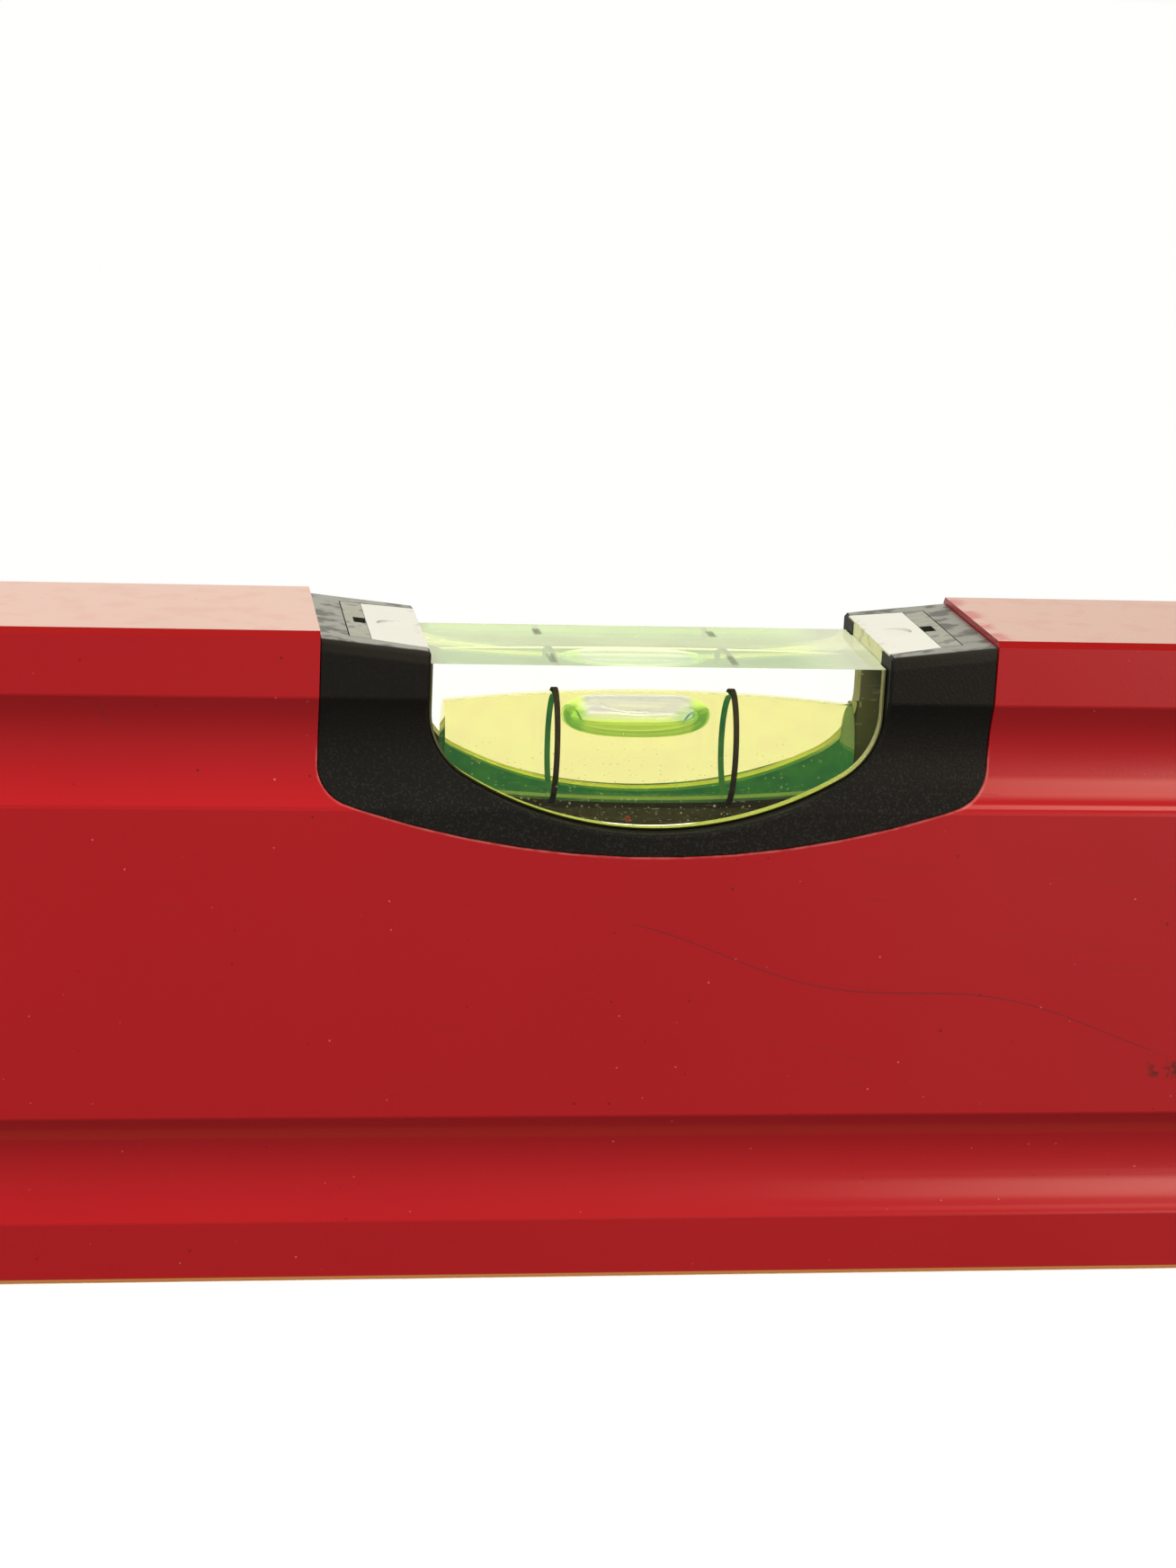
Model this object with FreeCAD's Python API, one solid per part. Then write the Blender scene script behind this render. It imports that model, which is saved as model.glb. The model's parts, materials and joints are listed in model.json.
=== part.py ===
import FreeCAD, Part
import math
import os
from FreeCAD import Vector

# Driving dimensions in millimetres
# X runs along the level, Y across it and Z up from the measuring face.
overall_length = 400.0
level_height = 60.0
level_depth = 20.5

# Extruded box profile
edge_chamfer = 0.53
band_height = 5.84
cove_height = 9.85
cove_depth = 1.1
cove_edge_radius = 0.8
side_wall = 1.9
base_wall = 3.2
top_wall = 2.8
core_corner = 0.6

# Ground vial in the middle: barrel bore, liquid, bubble and reading rings
bore_radius = 5.25
bore_half_length = 18.5
bore_bow_radius = 160.0
bore_cover = 3.35
bore_floor = 1.55
ring_width = 0.5
ring_thickness = 0.3
ring_spacing = 16.1
ring_shift = -0.5
bubble_length = 13.6
bubble_depth = 3.85
bubble_width = 8.8
bubble_shift = -0.6
bubble_film = 0.15
bubble_lead = 0.9
bubble_gap = 0.1
plug_length = 6.6
plug_radius = 4.4

# Clear block round the bore, and the window that shows it
block_drop = 3.0
block_half_depth = 6.0
boss_depth = 8.65
boss_bevel = 0.2
window_margin_side = 1.85
window_margin_below = 1.12
window_belly_radius = 32.5
window_corner_radius = 7.0
fit_gap = 0.1

# Moulded holder of the block
holder_inset = 0.2
holder_rim = 1.93
holder_belly_radius = 84.0
holder_corner_radius = 3.5
holder_end_wall = 2.6
holder_floor = 1.2
holder_keel_width = 14.2
holder_top_outer_drop = 0.6
holder_top_inner_drop = 1.65
holder_edge_radius = 0.45
window_edge_bevel = 0.25
latch_reach = 1.3
latch_bevel = 1.04
latch_height = 4.5
latch_width = 10.0

# White end pads and the black wedges that lock them
pad_outer_width = 15.4
pad_inner_width = 16.8
pad_mark_radius = 1.6
pad_mark_depth = 0.08
wedge_thickness = 1.85
wedge_depth = 8.5
wedge_width = 15.0
wedge_notch = 1.1
wedge_notch_width = 2.2
wedge_notch_depth = 2.0

# Upright vial near the right end, in a round two-part holder
plumb_distance = 60.0
plumb_radius = 19.9
plumb_plate = 2.1
plumb_shell = 1.7
plumb_window_width = 12.6
plumb_window_height = 27.0
plumb_window_corner = 3.0
plumb_lip = 1.2
plumb_bore_radius = 4.2
plumb_bore_half_length = 12.0
plumb_ring_spacing = 9.0
plumb_bubble_radius = 3.45
plumb_bubble_length = 4.6
plumb_bubble_bevel = 0.9
plumb_plug_length = 2.4
plumb_plug_radius = 3.2
peg_radius = 1.1
peg_length = 3.0
peg_wall = 1.1

# Pot magnets in the milled base
magnet_radius = 5.0
magnet_height = 4.0
cup_wall = 1.1
cup_floor = 1.2
magnet_bevel = 0.3
magnet_recess = 0.15
magnet_end_distance = 50.0
magnet_count = 4
seam_gap = 0.15

# End caps and their rubber faces
cap_plate = 5.0
cap_edge_bevel = 0.5
cap_plug_length = 16.0
cap_plug_wall = 1.8
cap_gap = 0.12
cap_rib = 1.6
bumper_thickness = 2.2
bumper_proud = 1.0
bumper_margin = 3.4
bumper_corner = 2.5

# Worked out from the sizes above
half_depth = level_depth / 2
profile_length = overall_length - 2 * (cap_plate + bumper_proud)
cove_lows = (band_height, level_height - band_height - cove_height)
block_top = level_height - block_drop
bore_axis = block_top - bore_cover - bore_radius
block_low = bore_axis - bore_radius - bore_floor
block_half_length = bore_half_length + plug_length + fit_gap
window_half_width = bore_half_length + window_margin_side
window_low = bore_axis - bore_radius - window_margin_below
pocket_half_length = block_half_length + fit_gap
wedge_outer = pocket_half_length + wedge_thickness + fit_gap
holder_half_length = wedge_outer + holder_end_wall
holder_low = window_low - holder_rim
holder_half_depth = half_depth - holder_inset
keel_low = block_low - fit_gap - holder_floor
top_outer = level_height - holder_top_outer_drop
top_inner = level_height - holder_top_inner_drop
top_slope = (top_outer - top_inner) / (holder_half_length - window_half_width)
plumb_x = overall_length / 2 - plumb_distance
plumb_z = level_height / 2
plumb_half_depth = half_depth - holder_inset
plumb_block_half_width = plumb_window_width / 2 + plumb_lip
plumb_block_half_height = plumb_window_height / 2 + plumb_lip
plumb_block_half_depth = plumb_half_depth - plumb_plate
far = level_height + overall_length

# How far a cutting tool runs past what it cuts, and how near counts as the same place
overshoot = 1.0
tolerance = 0.02


def line(start, end):
    return Part.LineSegment(start, end).toShape()


def arc(start, middle, end):
    return Part.Arc(start, middle, end).toShape()


def face_of(edges):
    return Part.Face(Part.Wire(edges))


def box(low, high):
    """Box between two opposite corners."""
    size = high.sub(low)
    return Part.makeBox(size.x, size.y, size.z, low)


def across(face, near, far_side):
    """Solid that an outline in the XZ plane sweeps across the level."""
    moved = face.copy()
    moved.translate(Vector(0, near, 0))
    return moved.extrude(Vector(0, far_side - near, 0))


def single(shape):
    """The one solid of a result, without seams between faces in one plane."""
    clean = shape.removeSplitter()
    return clean.Solids[0]


def section_side(x, depth, low, high, corner, side):
    """Edges up one side of the level's section, with a cove near its foot and its head."""
    def at(distance, z):
        return Vector(x, side * distance, z)

    start = at(depth, low + corner)
    edges = [line(at(depth - corner, low), start)]
    for cove_low in cove_lows:
        foot = at(depth, cove_low)
        head = at(depth, cove_low + cove_height)
        edges.append(line(start, foot))
        edges.append(arc(foot, at(depth - cove_depth, cove_low + cove_height / 2), head))
        start = head
    edges.append(line(start, at(depth, high - corner)))
    edges.append(line(at(depth, high - corner), at(depth - corner, high)))
    return edges


def bar(start, length, depth, low, high, corner):
    """Length of the level's section, with the long edges of its coves rounded."""
    front = section_side(start, depth, low, high, corner, -1)
    back = section_side(start, depth, low, high, corner, 1)
    base = line(Vector(start, -depth + corner, low), Vector(start, depth - corner, low))
    top = line(Vector(start, -depth + corner, high), Vector(start, depth - corner, high))
    back_down = list(reversed(back))
    solid = face_of(front + [top] + back_down + [base]).extrude(Vector(length, 0, 0))
    cove_edges = []
    for edge in solid.Edges:
        middle = edge.CenterOfMass
        along = edge.BoundBox.XLength > length / 2
        at_side = abs(abs(middle.y) - depth) < tolerance
        for cove_low in cove_lows:
            at_cove = min(abs(middle.z - cove_low), abs(middle.z - cove_low - cove_height)) < tolerance
            if along and at_side and at_cove:
                cove_edges.append(edge)
    return solid.makeFillet(cove_edge_radius, cove_edges)


def cradle_face(half_width, low, high, belly_radius, corner_radius):
    """U-shaped outline in the XZ plane: upright sides, round corners and a shallow round belly."""
    belly_centre = low + belly_radius
    corner_x = half_width - corner_radius
    reach = belly_radius - corner_radius
    corner_z = belly_centre - math.sqrt(reach ** 2 - corner_x ** 2)
    turn = math.atan2(corner_z - belly_centre, corner_x)

    def on_right(x, z):
        return Vector(x, 0, z)

    def on_left(x, z):
        return Vector(-x, 0, z)

    touch = (corner_x + corner_radius * math.cos(turn), corner_z + corner_radius * math.sin(turn))
    bend = (corner_x + corner_radius * math.cos(turn / 2), corner_z + corner_radius * math.sin(turn / 2))
    side_foot = (half_width, corner_z)
    side_head = (half_width, high)
    edges = [
        line(on_right(*side_head), on_right(*side_foot)),
        arc(on_right(*side_foot), on_right(*bend), on_right(*touch)),
        arc(on_right(*touch), on_right(0, low), on_left(*touch)),
        arc(on_left(*touch), on_left(*bend), on_left(*side_foot)),
        line(on_left(*side_foot), on_left(*side_head)),
        line(on_left(*side_head), on_right(*side_head)),
    ]
    return face_of(edges)


def holder_outline(grow, high):
    """Outline of the centre holder, and with grow the slot that it sits in."""
    return cradle_face(holder_half_length + grow, holder_low - grow, high,
                       holder_belly_radius + grow, holder_corner_radius + grow)


def window_outline(shrink, high):
    """Outline of the window, and with shrink that of the block's boss inside it."""
    return cradle_face(window_half_width - shrink, window_low + shrink, high,
                       window_belly_radius - shrink, window_corner_radius - shrink)


def bow_sag(distance):
    """How far the bowed wall of a bore has come in at a distance from its middle."""
    return bore_bow_radius - math.sqrt(bore_bow_radius ** 2 - distance ** 2)


def wall_point(x, radius):
    """Point on the lowest line of a bowed bore about the X axis."""
    return Vector(x, 0, bow_sag(x) - radius)


def wall_arc(start, end, radius):
    """Stretch of that line."""
    return arc(wall_point(start, radius), wall_point((start + end) / 2, radius), wall_point(end, radius))


def groove_floor(start, radius):
    """The two corners of a reading ring's groove in the wall of a bore."""
    depth = bow_sag(start + ring_width / 2) - radius - ring_thickness
    return Vector(start, 0, depth), Vector(start + ring_width, 0, depth)


def barrel(half_length, radius, grooves=()):
    """Ground bore about the X axis, widest in its middle, with a groove for each reading ring."""
    start = -half_length
    edges = [line(Vector(start, 0, 0), wall_point(start, radius))]
    for groove in grooves:
        end = groove + ring_width
        first, last = groove_floor(groove, radius)
        edges.append(wall_arc(start, groove, radius))
        edges.append(line(wall_point(groove, radius), first))
        edges.append(line(first, last))
        edges.append(line(last, wall_point(end, radius)))
        start = end
    edges.append(wall_arc(start, half_length, radius))
    edges.append(line(wall_point(half_length, radius), Vector(half_length, 0, 0)))
    edges.append(line(Vector(half_length, 0, 0), Vector(-half_length, 0, 0)))
    return turned(edges)


def turned(edges):
    """Solid of revolution about the X axis."""
    return face_of(edges).revolve(Vector(0, 0, 0), Vector(1, 0, 0), 360)


def disc_on_x(radius, start, length):
    return Part.makeCylinder(radius, length, Vector(start, 0, 0), Vector(1, 0, 0))


def ellipsoid(length, width, height):
    """Ball of radius one, stretched to three half sizes."""
    stretch = FreeCAD.Matrix()
    stretch.scale(length / 2, width / 2, height)
    return Part.makeSphere(1.0).transformGeometry(stretch)


def in_centre(shape):
    """Puts a vial shape made about the X axis on the axis of the middle bore."""
    shape.translate(Vector(0, 0, bore_axis))
    return shape


def upright(shape):
    """Turns a vial shape from the X axis to the upright bore, its right end up."""
    shape.rotate(Vector(0, 0, 0), Vector(0, 1, 0), -90)
    shape.translate(Vector(plumb_x, 0, plumb_z))
    return shape


def ring_starts(spacing, shift):
    """Where the two reading rings of a bore begin along it."""
    return [shift + side * spacing / 2 - ring_width / 2 for side in (-1, 1)]


def bore_ring(radius, start):
    """Dark reading ring that fills a groove in the wall of a bore."""
    end = start + ring_width
    first, last = groove_floor(start, radius)
    edges = [
        wall_arc(start, end, radius),
        line(wall_point(end, radius), last),
        line(last, first),
        line(first, wall_point(start, radius)),
    ]
    return single(turned(edges))


def bubble_blank(extra):
    """Air bubble under the crown of the middle bore; extra widens it all round."""
    top = bore_radius - bubble_film - bow_sag(bubble_length / 2)
    air = ellipsoid(bubble_length + 2 * extra, bubble_width + 2 * extra, bubble_depth + extra)
    air.translate(Vector(0, 0, top))
    roof = disc_on_x(top - bubble_lead + extra, -bubble_length, 2 * bubble_length)
    roof.translate(Vector(0, 0, bubble_lead))
    shape = air.common(roof)
    arc_centre = Vector(0, 0, bore_radius - bore_bow_radius)
    slide = (ring_shift + bubble_shift) / bore_bow_radius
    shape.rotate(arc_centre, Vector(0, 1, 0), math.degrees(slide))
    return shape


def make_profile():
    """Hollow box profile with a slot for the centre holder, a round hole and magnet pockets."""
    start = -profile_length / 2
    body = bar(start, profile_length, half_depth, 0, level_height, edge_chamfer)
    hollow = bar(start - overshoot, profile_length + 2 * overshoot, half_depth - side_wall, base_wall,
                 level_height - top_wall, core_corner)
    slot = across(holder_outline(fit_gap, level_height + overshoot), -level_depth, level_depth)
    hole = Part.makeCylinder(plumb_radius + fit_gap, 2 * level_depth,
                             Vector(plumb_x, -level_depth, plumb_z), Vector(0, 1, 0))
    tools = [hollow, slot, hole]
    for x in magnet_places():
        tools.append(Part.makeCylinder(magnet_radius + seam_gap + cup_wall, 2 * base_wall,
                                       Vector(x, 0, -base_wall / 2)))
    return single(body.cut(tools))


def magnet_places():
    """Middles of the magnets, evenly spaced between the two outer ones."""
    first = magnet_end_distance - overall_length / 2
    spacing = -2 * first / (magnet_count - 1)
    return [first + index * spacing for index in range(magnet_count)]


def wedge_block(grow):
    """Room that a locking wedge takes on the right, from its foot to above the holder."""
    inner = pocket_half_length + fit_gap - grow
    low = Vector(inner, -wedge_width / 2 - grow, top_inner - wedge_depth - grow)
    high = Vector(inner + wedge_thickness + 2 * grow, wedge_width / 2 + grow, level_height + overshoot)
    return box(low, high)


def pad_plan(grow):
    """Plan of the white pad on the right, a little wider at its inner end."""
    inner = window_half_width + fit_gap
    outer = pocket_half_length + fit_gap / 2
    points = [
        Vector(inner, -pad_inner_width / 2 - grow, 0),
        Vector(outer, -pad_outer_width / 2 - grow, 0),
        Vector(outer, pad_outer_width / 2 + grow, 0),
        Vector(inner, pad_inner_width / 2 + grow, 0),
    ]
    edges = [line(points[index - 1], points[index]) for index in range(4)]
    return face_of(edges)


def above_holder():
    """All that lies above the two sloping shoulders of the centre holder."""
    beyond = 5.0
    outer = Vector(holder_half_length + beyond, 0, top_outer + beyond * top_slope)
    valley = Vector(0, 0, top_inner - window_half_width * top_slope)
    left = Vector(-outer.x, 0, outer.z)
    roof = Vector(0, 0, level_height)
    edges = [
        line(left, valley),
        line(valley, outer),
        line(outer, outer.add(roof)),
        line(outer.add(roof), left.add(roof)),
        line(left.add(roof), left),
    ]
    return across(face_of(edges), -level_depth, level_depth)


def mirrored(shape):
    """The same shape on the left."""
    return shape.mirror(Vector(0, 0, 0), Vector(1, 0, 0))


def round_shoulders(body):
    """Rounds the long upper edges of both shoulders."""
    shoulder_length = holder_half_length - window_half_width
    chosen = []
    for edge in body.Edges:
        middle = edge.CenterOfMass
        at_face = abs(abs(middle.y) - holder_half_depth) < tolerance
        if at_face and edge.BoundBox.XLength > shoulder_length / 2 and middle.z > top_inner:
            chosen.append(edge)
    return body.makeFillet(holder_edge_radius, chosen)


def bevel_windows(body):
    """Breaks the edge where each window meets the holder's face."""
    outline = window_outline(0, far).OuterWire
    face_depth = holder_half_depth - cove_depth
    chosen = []
    for edge in body.Edges:
        middle = edge.valueAt((edge.FirstParameter + edge.LastParameter) / 2)
        at_outline = outline.distToShape(Part.Vertex(Vector(middle.x, 0, middle.z)))[0] < tolerance
        if at_outline and abs(middle.y) > face_depth - tolerance and middle.z < top_inner - tolerance:
            chosen.append(edge)
    return body.makeChamfer(window_edge_bevel, chosen)


def make_vial_holder():
    """Black moulding that fills the slot: two faces, a cradle, pad seats and latches."""
    start = -holder_half_length
    body = bar(start, 2 * holder_half_length, holder_half_depth, 0, level_height, edge_chamfer)
    body = body.common(across(holder_outline(0, level_height), -level_depth, level_depth))
    body = body.cut(across(window_outline(0, level_height + overshoot), -level_depth, level_depth))
    body = round_shoulders(body.cut(above_holder()))
    keel_half = holder_keel_width / 2
    keel_top = window_low + window_corner_radius
    keel = box(Vector(start + fit_gap, -keel_half, keel_low), Vector(-start - fit_gap, keel_half, keel_top))
    latch_low = level_height - top_wall - fit_gap - latch_height
    latch = box(Vector(start - latch_reach, -latch_width / 2, latch_low),
                Vector(-start + latch_reach, latch_width / 2, latch_low + latch_height))
    latch = latch.makeChamfer(latch_bevel, latch_tips(latch))
    body = body.fuse([keel, latch])
    cavity = box(Vector(-pocket_half_length, -block_half_depth - fit_gap, block_low - fit_gap),
                 Vector(pocket_half_length, block_half_depth + fit_gap, far))
    window = across(window_outline(0, far), -level_depth, level_depth)
    seat = pad_plan(fit_gap)
    seat.translate(Vector(0, 0, block_top))
    seat = seat.extrude(Vector(0, 0, far))
    wedge = wedge_block(fit_gap)
    body = single(body.cut([cavity, window, seat, mirrored(seat), wedge, mirrored(wedge)]))
    return bevel_windows(body)


def latch_tips(latch):
    """Lower outer edges of the latch bar, where it slips past the flange."""
    tips = []
    for edge in latch.Edges:
        box_of_edge = edge.BoundBox
        at_foot = box_of_edge.ZMax < latch.BoundBox.ZMin + tolerance
        if at_foot and box_of_edge.XLength < tolerance:
            tips.append(edge)
    return tips


def boss(side):
    """Part of the clear block that fills one window, bevelled round its lit face."""
    root = side * block_half_depth / 2
    shoulder = side * (boss_depth - boss_bevel)
    straight = across(window_outline(fit_gap, block_top), root, shoulder)
    foot = window_outline(fit_gap, block_top).OuterWire
    crown = window_outline(fit_gap + boss_bevel, block_top).OuterWire
    foot.translate(Vector(0, shoulder, 0))
    crown.translate(Vector(0, side * boss_depth, 0))
    return straight.fuse(Part.makeLoft([foot, crown], True))


def make_vial_block():
    """Clear acrylic block with a boss in each window and the ground bore along it."""
    body = box(Vector(-block_half_length, -block_half_depth, block_low),
               Vector(block_half_length, block_half_depth, block_top))
    body = body.fuse([boss(-1), boss(1)])
    bore = in_centre(barrel(bore_half_length, bore_radius, ring_starts(ring_spacing, ring_shift)))
    plug_hole = in_centre(disc_on_x(plug_radius, bore_half_length, 2 * plug_length))
    return single(body.cut([bore, plug_hole]))


def make_vial_liquid():
    """Liquid that fills the middle bore round the bubble."""
    shape = barrel(bore_half_length, bore_radius).cut(bubble_blank(bubble_gap))
    return single(in_centre(shape))


def make_vial_pad(side):
    """White pad that rests on one end of the block and closes the holder."""
    plan = pad_plan(-fit_gap / 2)
    plan.translate(Vector(0, 0, block_top + fit_gap / 2))
    body = plan.extrude(Vector(0, 0, far)).cut(above_holder())
    middle = (window_half_width + pocket_half_length) / 2
    mark_floor = top_inner + (middle - window_half_width) * top_slope - pad_mark_depth
    mark = Part.makeCylinder(pad_mark_radius, pad_mark_depth + overshoot, Vector(middle, 0, mark_floor))
    body = single(body.cut(mark))
    return body if side > 0 else mirrored(body)


def make_vial_wedge(side):
    """Black wedge that locks a pad, with a notch for a screwdriver."""
    body = wedge_block(0).cut(above_holder())
    inner = pocket_half_length + fit_gap
    notch = box(Vector(inner - overshoot, -wedge_notch_width / 2, top_inner - wedge_notch_depth),
                Vector(inner + wedge_notch, wedge_notch_width / 2, level_height + overshoot))
    body = single(body.cut(notch))
    return body if side > 0 else mirrored(body)


def rounded_window(half_width, half_height, corner, near, far_side):
    """Upright rounded block about the middle of the round holder."""
    low = Vector(plumb_x - half_width, min(near, far_side), plumb_z - half_height)
    high = Vector(plumb_x + half_width, max(near, far_side), plumb_z + half_height)
    blank = box(low, high)
    corners = [edge for edge in blank.Edges if edge.BoundBox.YLength > blank.BoundBox.YLength / 2]
    return blank.makeFillet(corner, corners)


def plumb_disc(radius, near, far_side):
    low = min(near, far_side)
    return Part.makeCylinder(radius, abs(far_side - near), Vector(plumb_x, low, plumb_z), Vector(0, 1, 0))


def peg_spots():
    """Middles of the two locating pegs, beside the clear block."""
    offset = (plumb_block_half_width + fit_gap + peg_wall + plumb_radius - plumb_shell) / 2
    return [(plumb_x - offset, plumb_z), (plumb_x + offset, plumb_z)]


def on_y(radius, spot, near, far_side):
    low = min(near, far_side)
    return Part.makeCylinder(radius, abs(far_side - near), Vector(spot[0], low, spot[1]), Vector(0, 1, 0))


def make_plumb_holder(side):
    """Half of the round holder: face plate, rim, frame round the block, and pegs or sockets."""
    face = side * plumb_half_depth
    plate = side * (plumb_half_depth - plumb_plate)
    in_plate = side * (plumb_half_depth - plumb_plate / 2)
    split = side * fit_gap / 2
    body = plumb_disc(plumb_radius, split, face)
    body = body.makeChamfer(holder_edge_radius, outer_rim(body, face))
    body = body.cut(plumb_disc(plumb_radius - plumb_shell, split, plate))
    frame_half_width = plumb_block_half_width + fit_gap + peg_wall
    frame_half_height = plumb_block_half_height + fit_gap + peg_wall
    frame = rounded_window(frame_half_width, frame_half_height, peg_wall, split, in_plate)
    frame = frame.common(plumb_disc(plumb_radius, split, face))
    body = body.fuse(frame)
    socket_radius = peg_radius + fit_gap / 2
    for spot in peg_spots():
        body = body.fuse(on_y(socket_radius + peg_wall, spot, split, in_plate))
        if side > 0:
            body = body.cut(on_y(socket_radius, spot, split, peg_length + fit_gap))
        else:
            body = body.fuse(on_y(peg_radius, spot, plate, peg_length))
    half_width = plumb_block_half_width + fit_gap
    half_height = plumb_block_half_height + fit_gap
    pocket = box(Vector(plumb_x - half_width, -level_depth, plumb_z - half_height),
                 Vector(plumb_x + half_width, level_depth, plumb_z + half_height))
    pocket = pocket.common(plumb_disc(plumb_radius, split, plate))
    window = rounded_window(plumb_window_width / 2, plumb_window_height / 2, plumb_window_corner, 0, 2 * face)
    return single(body.cut([pocket, window]))


def outer_rim(body, face):
    """Edge of a disc at its outer face."""
    flat = [edge for edge in body.Edges if edge.BoundBox.YLength < tolerance]
    return [edge for edge in flat if abs(edge.CenterOfMass.y - face) < tolerance]


def make_plumb_block():
    """Clear upright block with a boss in both windows and its bore."""
    half_width = plumb_block_half_width
    half_depth_here = plumb_block_half_depth
    half_height = plumb_block_half_height
    body = box(Vector(plumb_x - half_width, -half_depth_here, plumb_z - half_height),
               Vector(plumb_x + half_width, half_depth_here, plumb_z + half_height))
    boss_half_depth = plumb_half_depth - boss_bevel
    body = body.fuse(rounded_window(plumb_window_width / 2 - fit_gap, plumb_window_height / 2 - fit_gap,
                                    plumb_window_corner - fit_gap, -boss_half_depth, boss_half_depth))
    grooves = ring_starts(plumb_ring_spacing, 0)
    bore = upright(barrel(plumb_bore_half_length, plumb_bore_radius, grooves))
    plug_start = -plumb_block_half_height - overshoot
    plug_hole = upright(disc_on_x(plumb_plug_radius, plug_start, -plug_start - plumb_bore_half_length))
    return single(body.cut([bore, plug_hole]))


def plumb_air(extra):
    """Slug of air in the upright bore, resting under its upper end; extra widens it all round."""
    end = plumb_bore_half_length - bubble_film + extra
    start = end - plumb_bubble_length - 2 * extra
    slug = disc_on_x(plumb_bubble_radius + extra, start, end - start)
    rims = [edge for edge in slug.Edges if edge.BoundBox.XLength < tolerance]
    return upright(slug.makeChamfer(plumb_bubble_bevel, rims))


def make_plumb_liquid():
    shape = upright(barrel(plumb_bore_half_length, plumb_bore_radius))
    return single(shape.cut(plumb_air(bubble_gap)))


def make_cup(x):
    """Steel cup that holds a magnet, pressed into the base from below."""
    radius = magnet_radius + seam_gap + cup_wall
    height = magnet_recess + magnet_height + cup_floor
    body = Part.makeCylinder(radius, height - magnet_recess, Vector(x, 0, magnet_recess))
    crown = [edge for edge in body.Edges if edge.BoundBox.ZMin > height - tolerance]
    body = body.makeChamfer(cup_wall / 2, crown)
    room = Part.makeCylinder(magnet_radius + seam_gap, magnet_height, Vector(x, 0, magnet_recess))
    return single(body.cut(room))


def make_magnet(x):
    """Disc magnet bonded in its cup, its face just inside the base."""
    body = Part.makeCylinder(magnet_radius, magnet_height, Vector(x, 0, magnet_recess))
    foot = [edge for edge in body.Edges if edge.BoundBox.ZMax < magnet_recess + tolerance]
    return body.makeChamfer(magnet_bevel, foot)


def make_end_cap(side):
    """Moulded cap: a rounded end plate and a ribbed hollow plug inside the profile."""
    start = profile_length / 2
    plate = bar(start, cap_plate, half_depth - cap_gap, cap_gap, level_height - cap_gap, edge_chamfer)
    rim = [edge for edge in plate.Edges if edge.BoundBox.XMin > start + cap_plate - tolerance]
    plate = plate.makeChamfer(cap_edge_bevel, rim)
    inset = side_wall + cap_gap
    plug_start = start - cap_plug_length
    plug = bar(plug_start, cap_plug_length + overshoot, half_depth - inset, base_wall + cap_gap,
               level_height - top_wall - cap_gap, core_corner)
    room_half = half_depth - inset - cove_depth - cap_plug_wall
    room_low = base_wall + cap_gap + cap_plug_wall
    room_high = level_height - top_wall - cap_gap - cap_plug_wall
    bay = (room_high - room_low - 2 * cap_rib) / 3
    body = plate.fuse(plug)
    rooms = []
    for index in range(3):
        low = room_low + index * (bay + cap_rib)
        rooms.append(box(Vector(plug_start - overshoot, -room_half, low), Vector(start, room_half, low + bay)))
    rooms.append(bumper_blank(bumper_start(), 2 * bumper_thickness, fit_gap / 2))
    body = single(body.cut(rooms))
    return body if side > 0 else mirrored(body)


def bumper_start():
    """Where the rubber face begins, inside the end plate."""
    return profile_length / 2 + cap_plate + bumper_proud - bumper_thickness


def bumper_blank(start, length, grow):
    """Upright rounded bar on the end plate."""
    half_width = half_depth - bumper_margin + grow
    blank = box(Vector(start, -half_width, bumper_margin - grow),
                Vector(start + length, half_width, level_height - bumper_margin + grow))
    corners = [edge for edge in blank.Edges if edge.BoundBox.XLength > length / 2]
    return blank.makeFillet(bumper_corner, corners)


def make_bumper(side):
    """Rubber face that takes the knocks, let into the end plate."""
    body = bumper_blank(bumper_start(), bumper_thickness, 0)
    rim = [edge for edge in body.Edges if edge.BoundBox.XMin > body.BoundBox.XMax - tolerance]
    body = body.makeChamfer(bumper_proud / 2, rim)
    return body if side > 0 else mirrored(body)


def all_pieces():
    """Every piece of the level under its name."""
    pieces = {
        "profile": make_profile(),
        "vial_holder": make_vial_holder(),
        "vial_block": make_vial_block(),
        "vial_liquid": make_vial_liquid(),
        "vial_bubble": in_centre(bubble_blank(0)),
        "vial_plug": in_centre(disc_on_x(plug_radius, bore_half_length, plug_length)),
        "plumb_holder_front": make_plumb_holder(-1),
        "plumb_holder_back": make_plumb_holder(1),
        "plumb_block": make_plumb_block(),
        "plumb_liquid": make_plumb_liquid(),
        "plumb_bubble": plumb_air(0),
        "plumb_plug": upright(disc_on_x(plumb_plug_radius, -plumb_bore_half_length - plumb_plug_length,
                                        plumb_plug_length)),
    }
    ends = (("left", -1), ("right", 1))
    ring_places = ring_starts(ring_spacing, ring_shift)
    for (name, side), start in zip(ends, ring_places):
        pieces["vial_ring_" + name] = in_centre(bore_ring(bore_radius, start))
    for name, start in zip(("lower", "upper"), ring_starts(plumb_ring_spacing, 0)):
        pieces["plumb_ring_" + name] = upright(bore_ring(plumb_bore_radius, start))
    for name, side in ends:
        pieces["vial_pad_" + name] = make_vial_pad(side)
        pieces["vial_wedge_" + name] = make_vial_wedge(side)
        pieces["end_cap_" + name] = make_end_cap(side)
        pieces["end_bumper_" + name] = make_bumper(side)
    for number, x in enumerate(magnet_places(), 1):
        pieces["magnet_" + str(number)] = make_magnet(x)
        pieces["magnet_cup_" + str(number)] = make_cup(x)
    return pieces


os.makedirs("parts", exist_ok=True)
for name, shape in all_pieces().items():
    shape.exportStep("parts/" + name + ".step")
    print(name, len(shape.Solids), round(shape.Volume, 2), shape.isValid())
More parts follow.
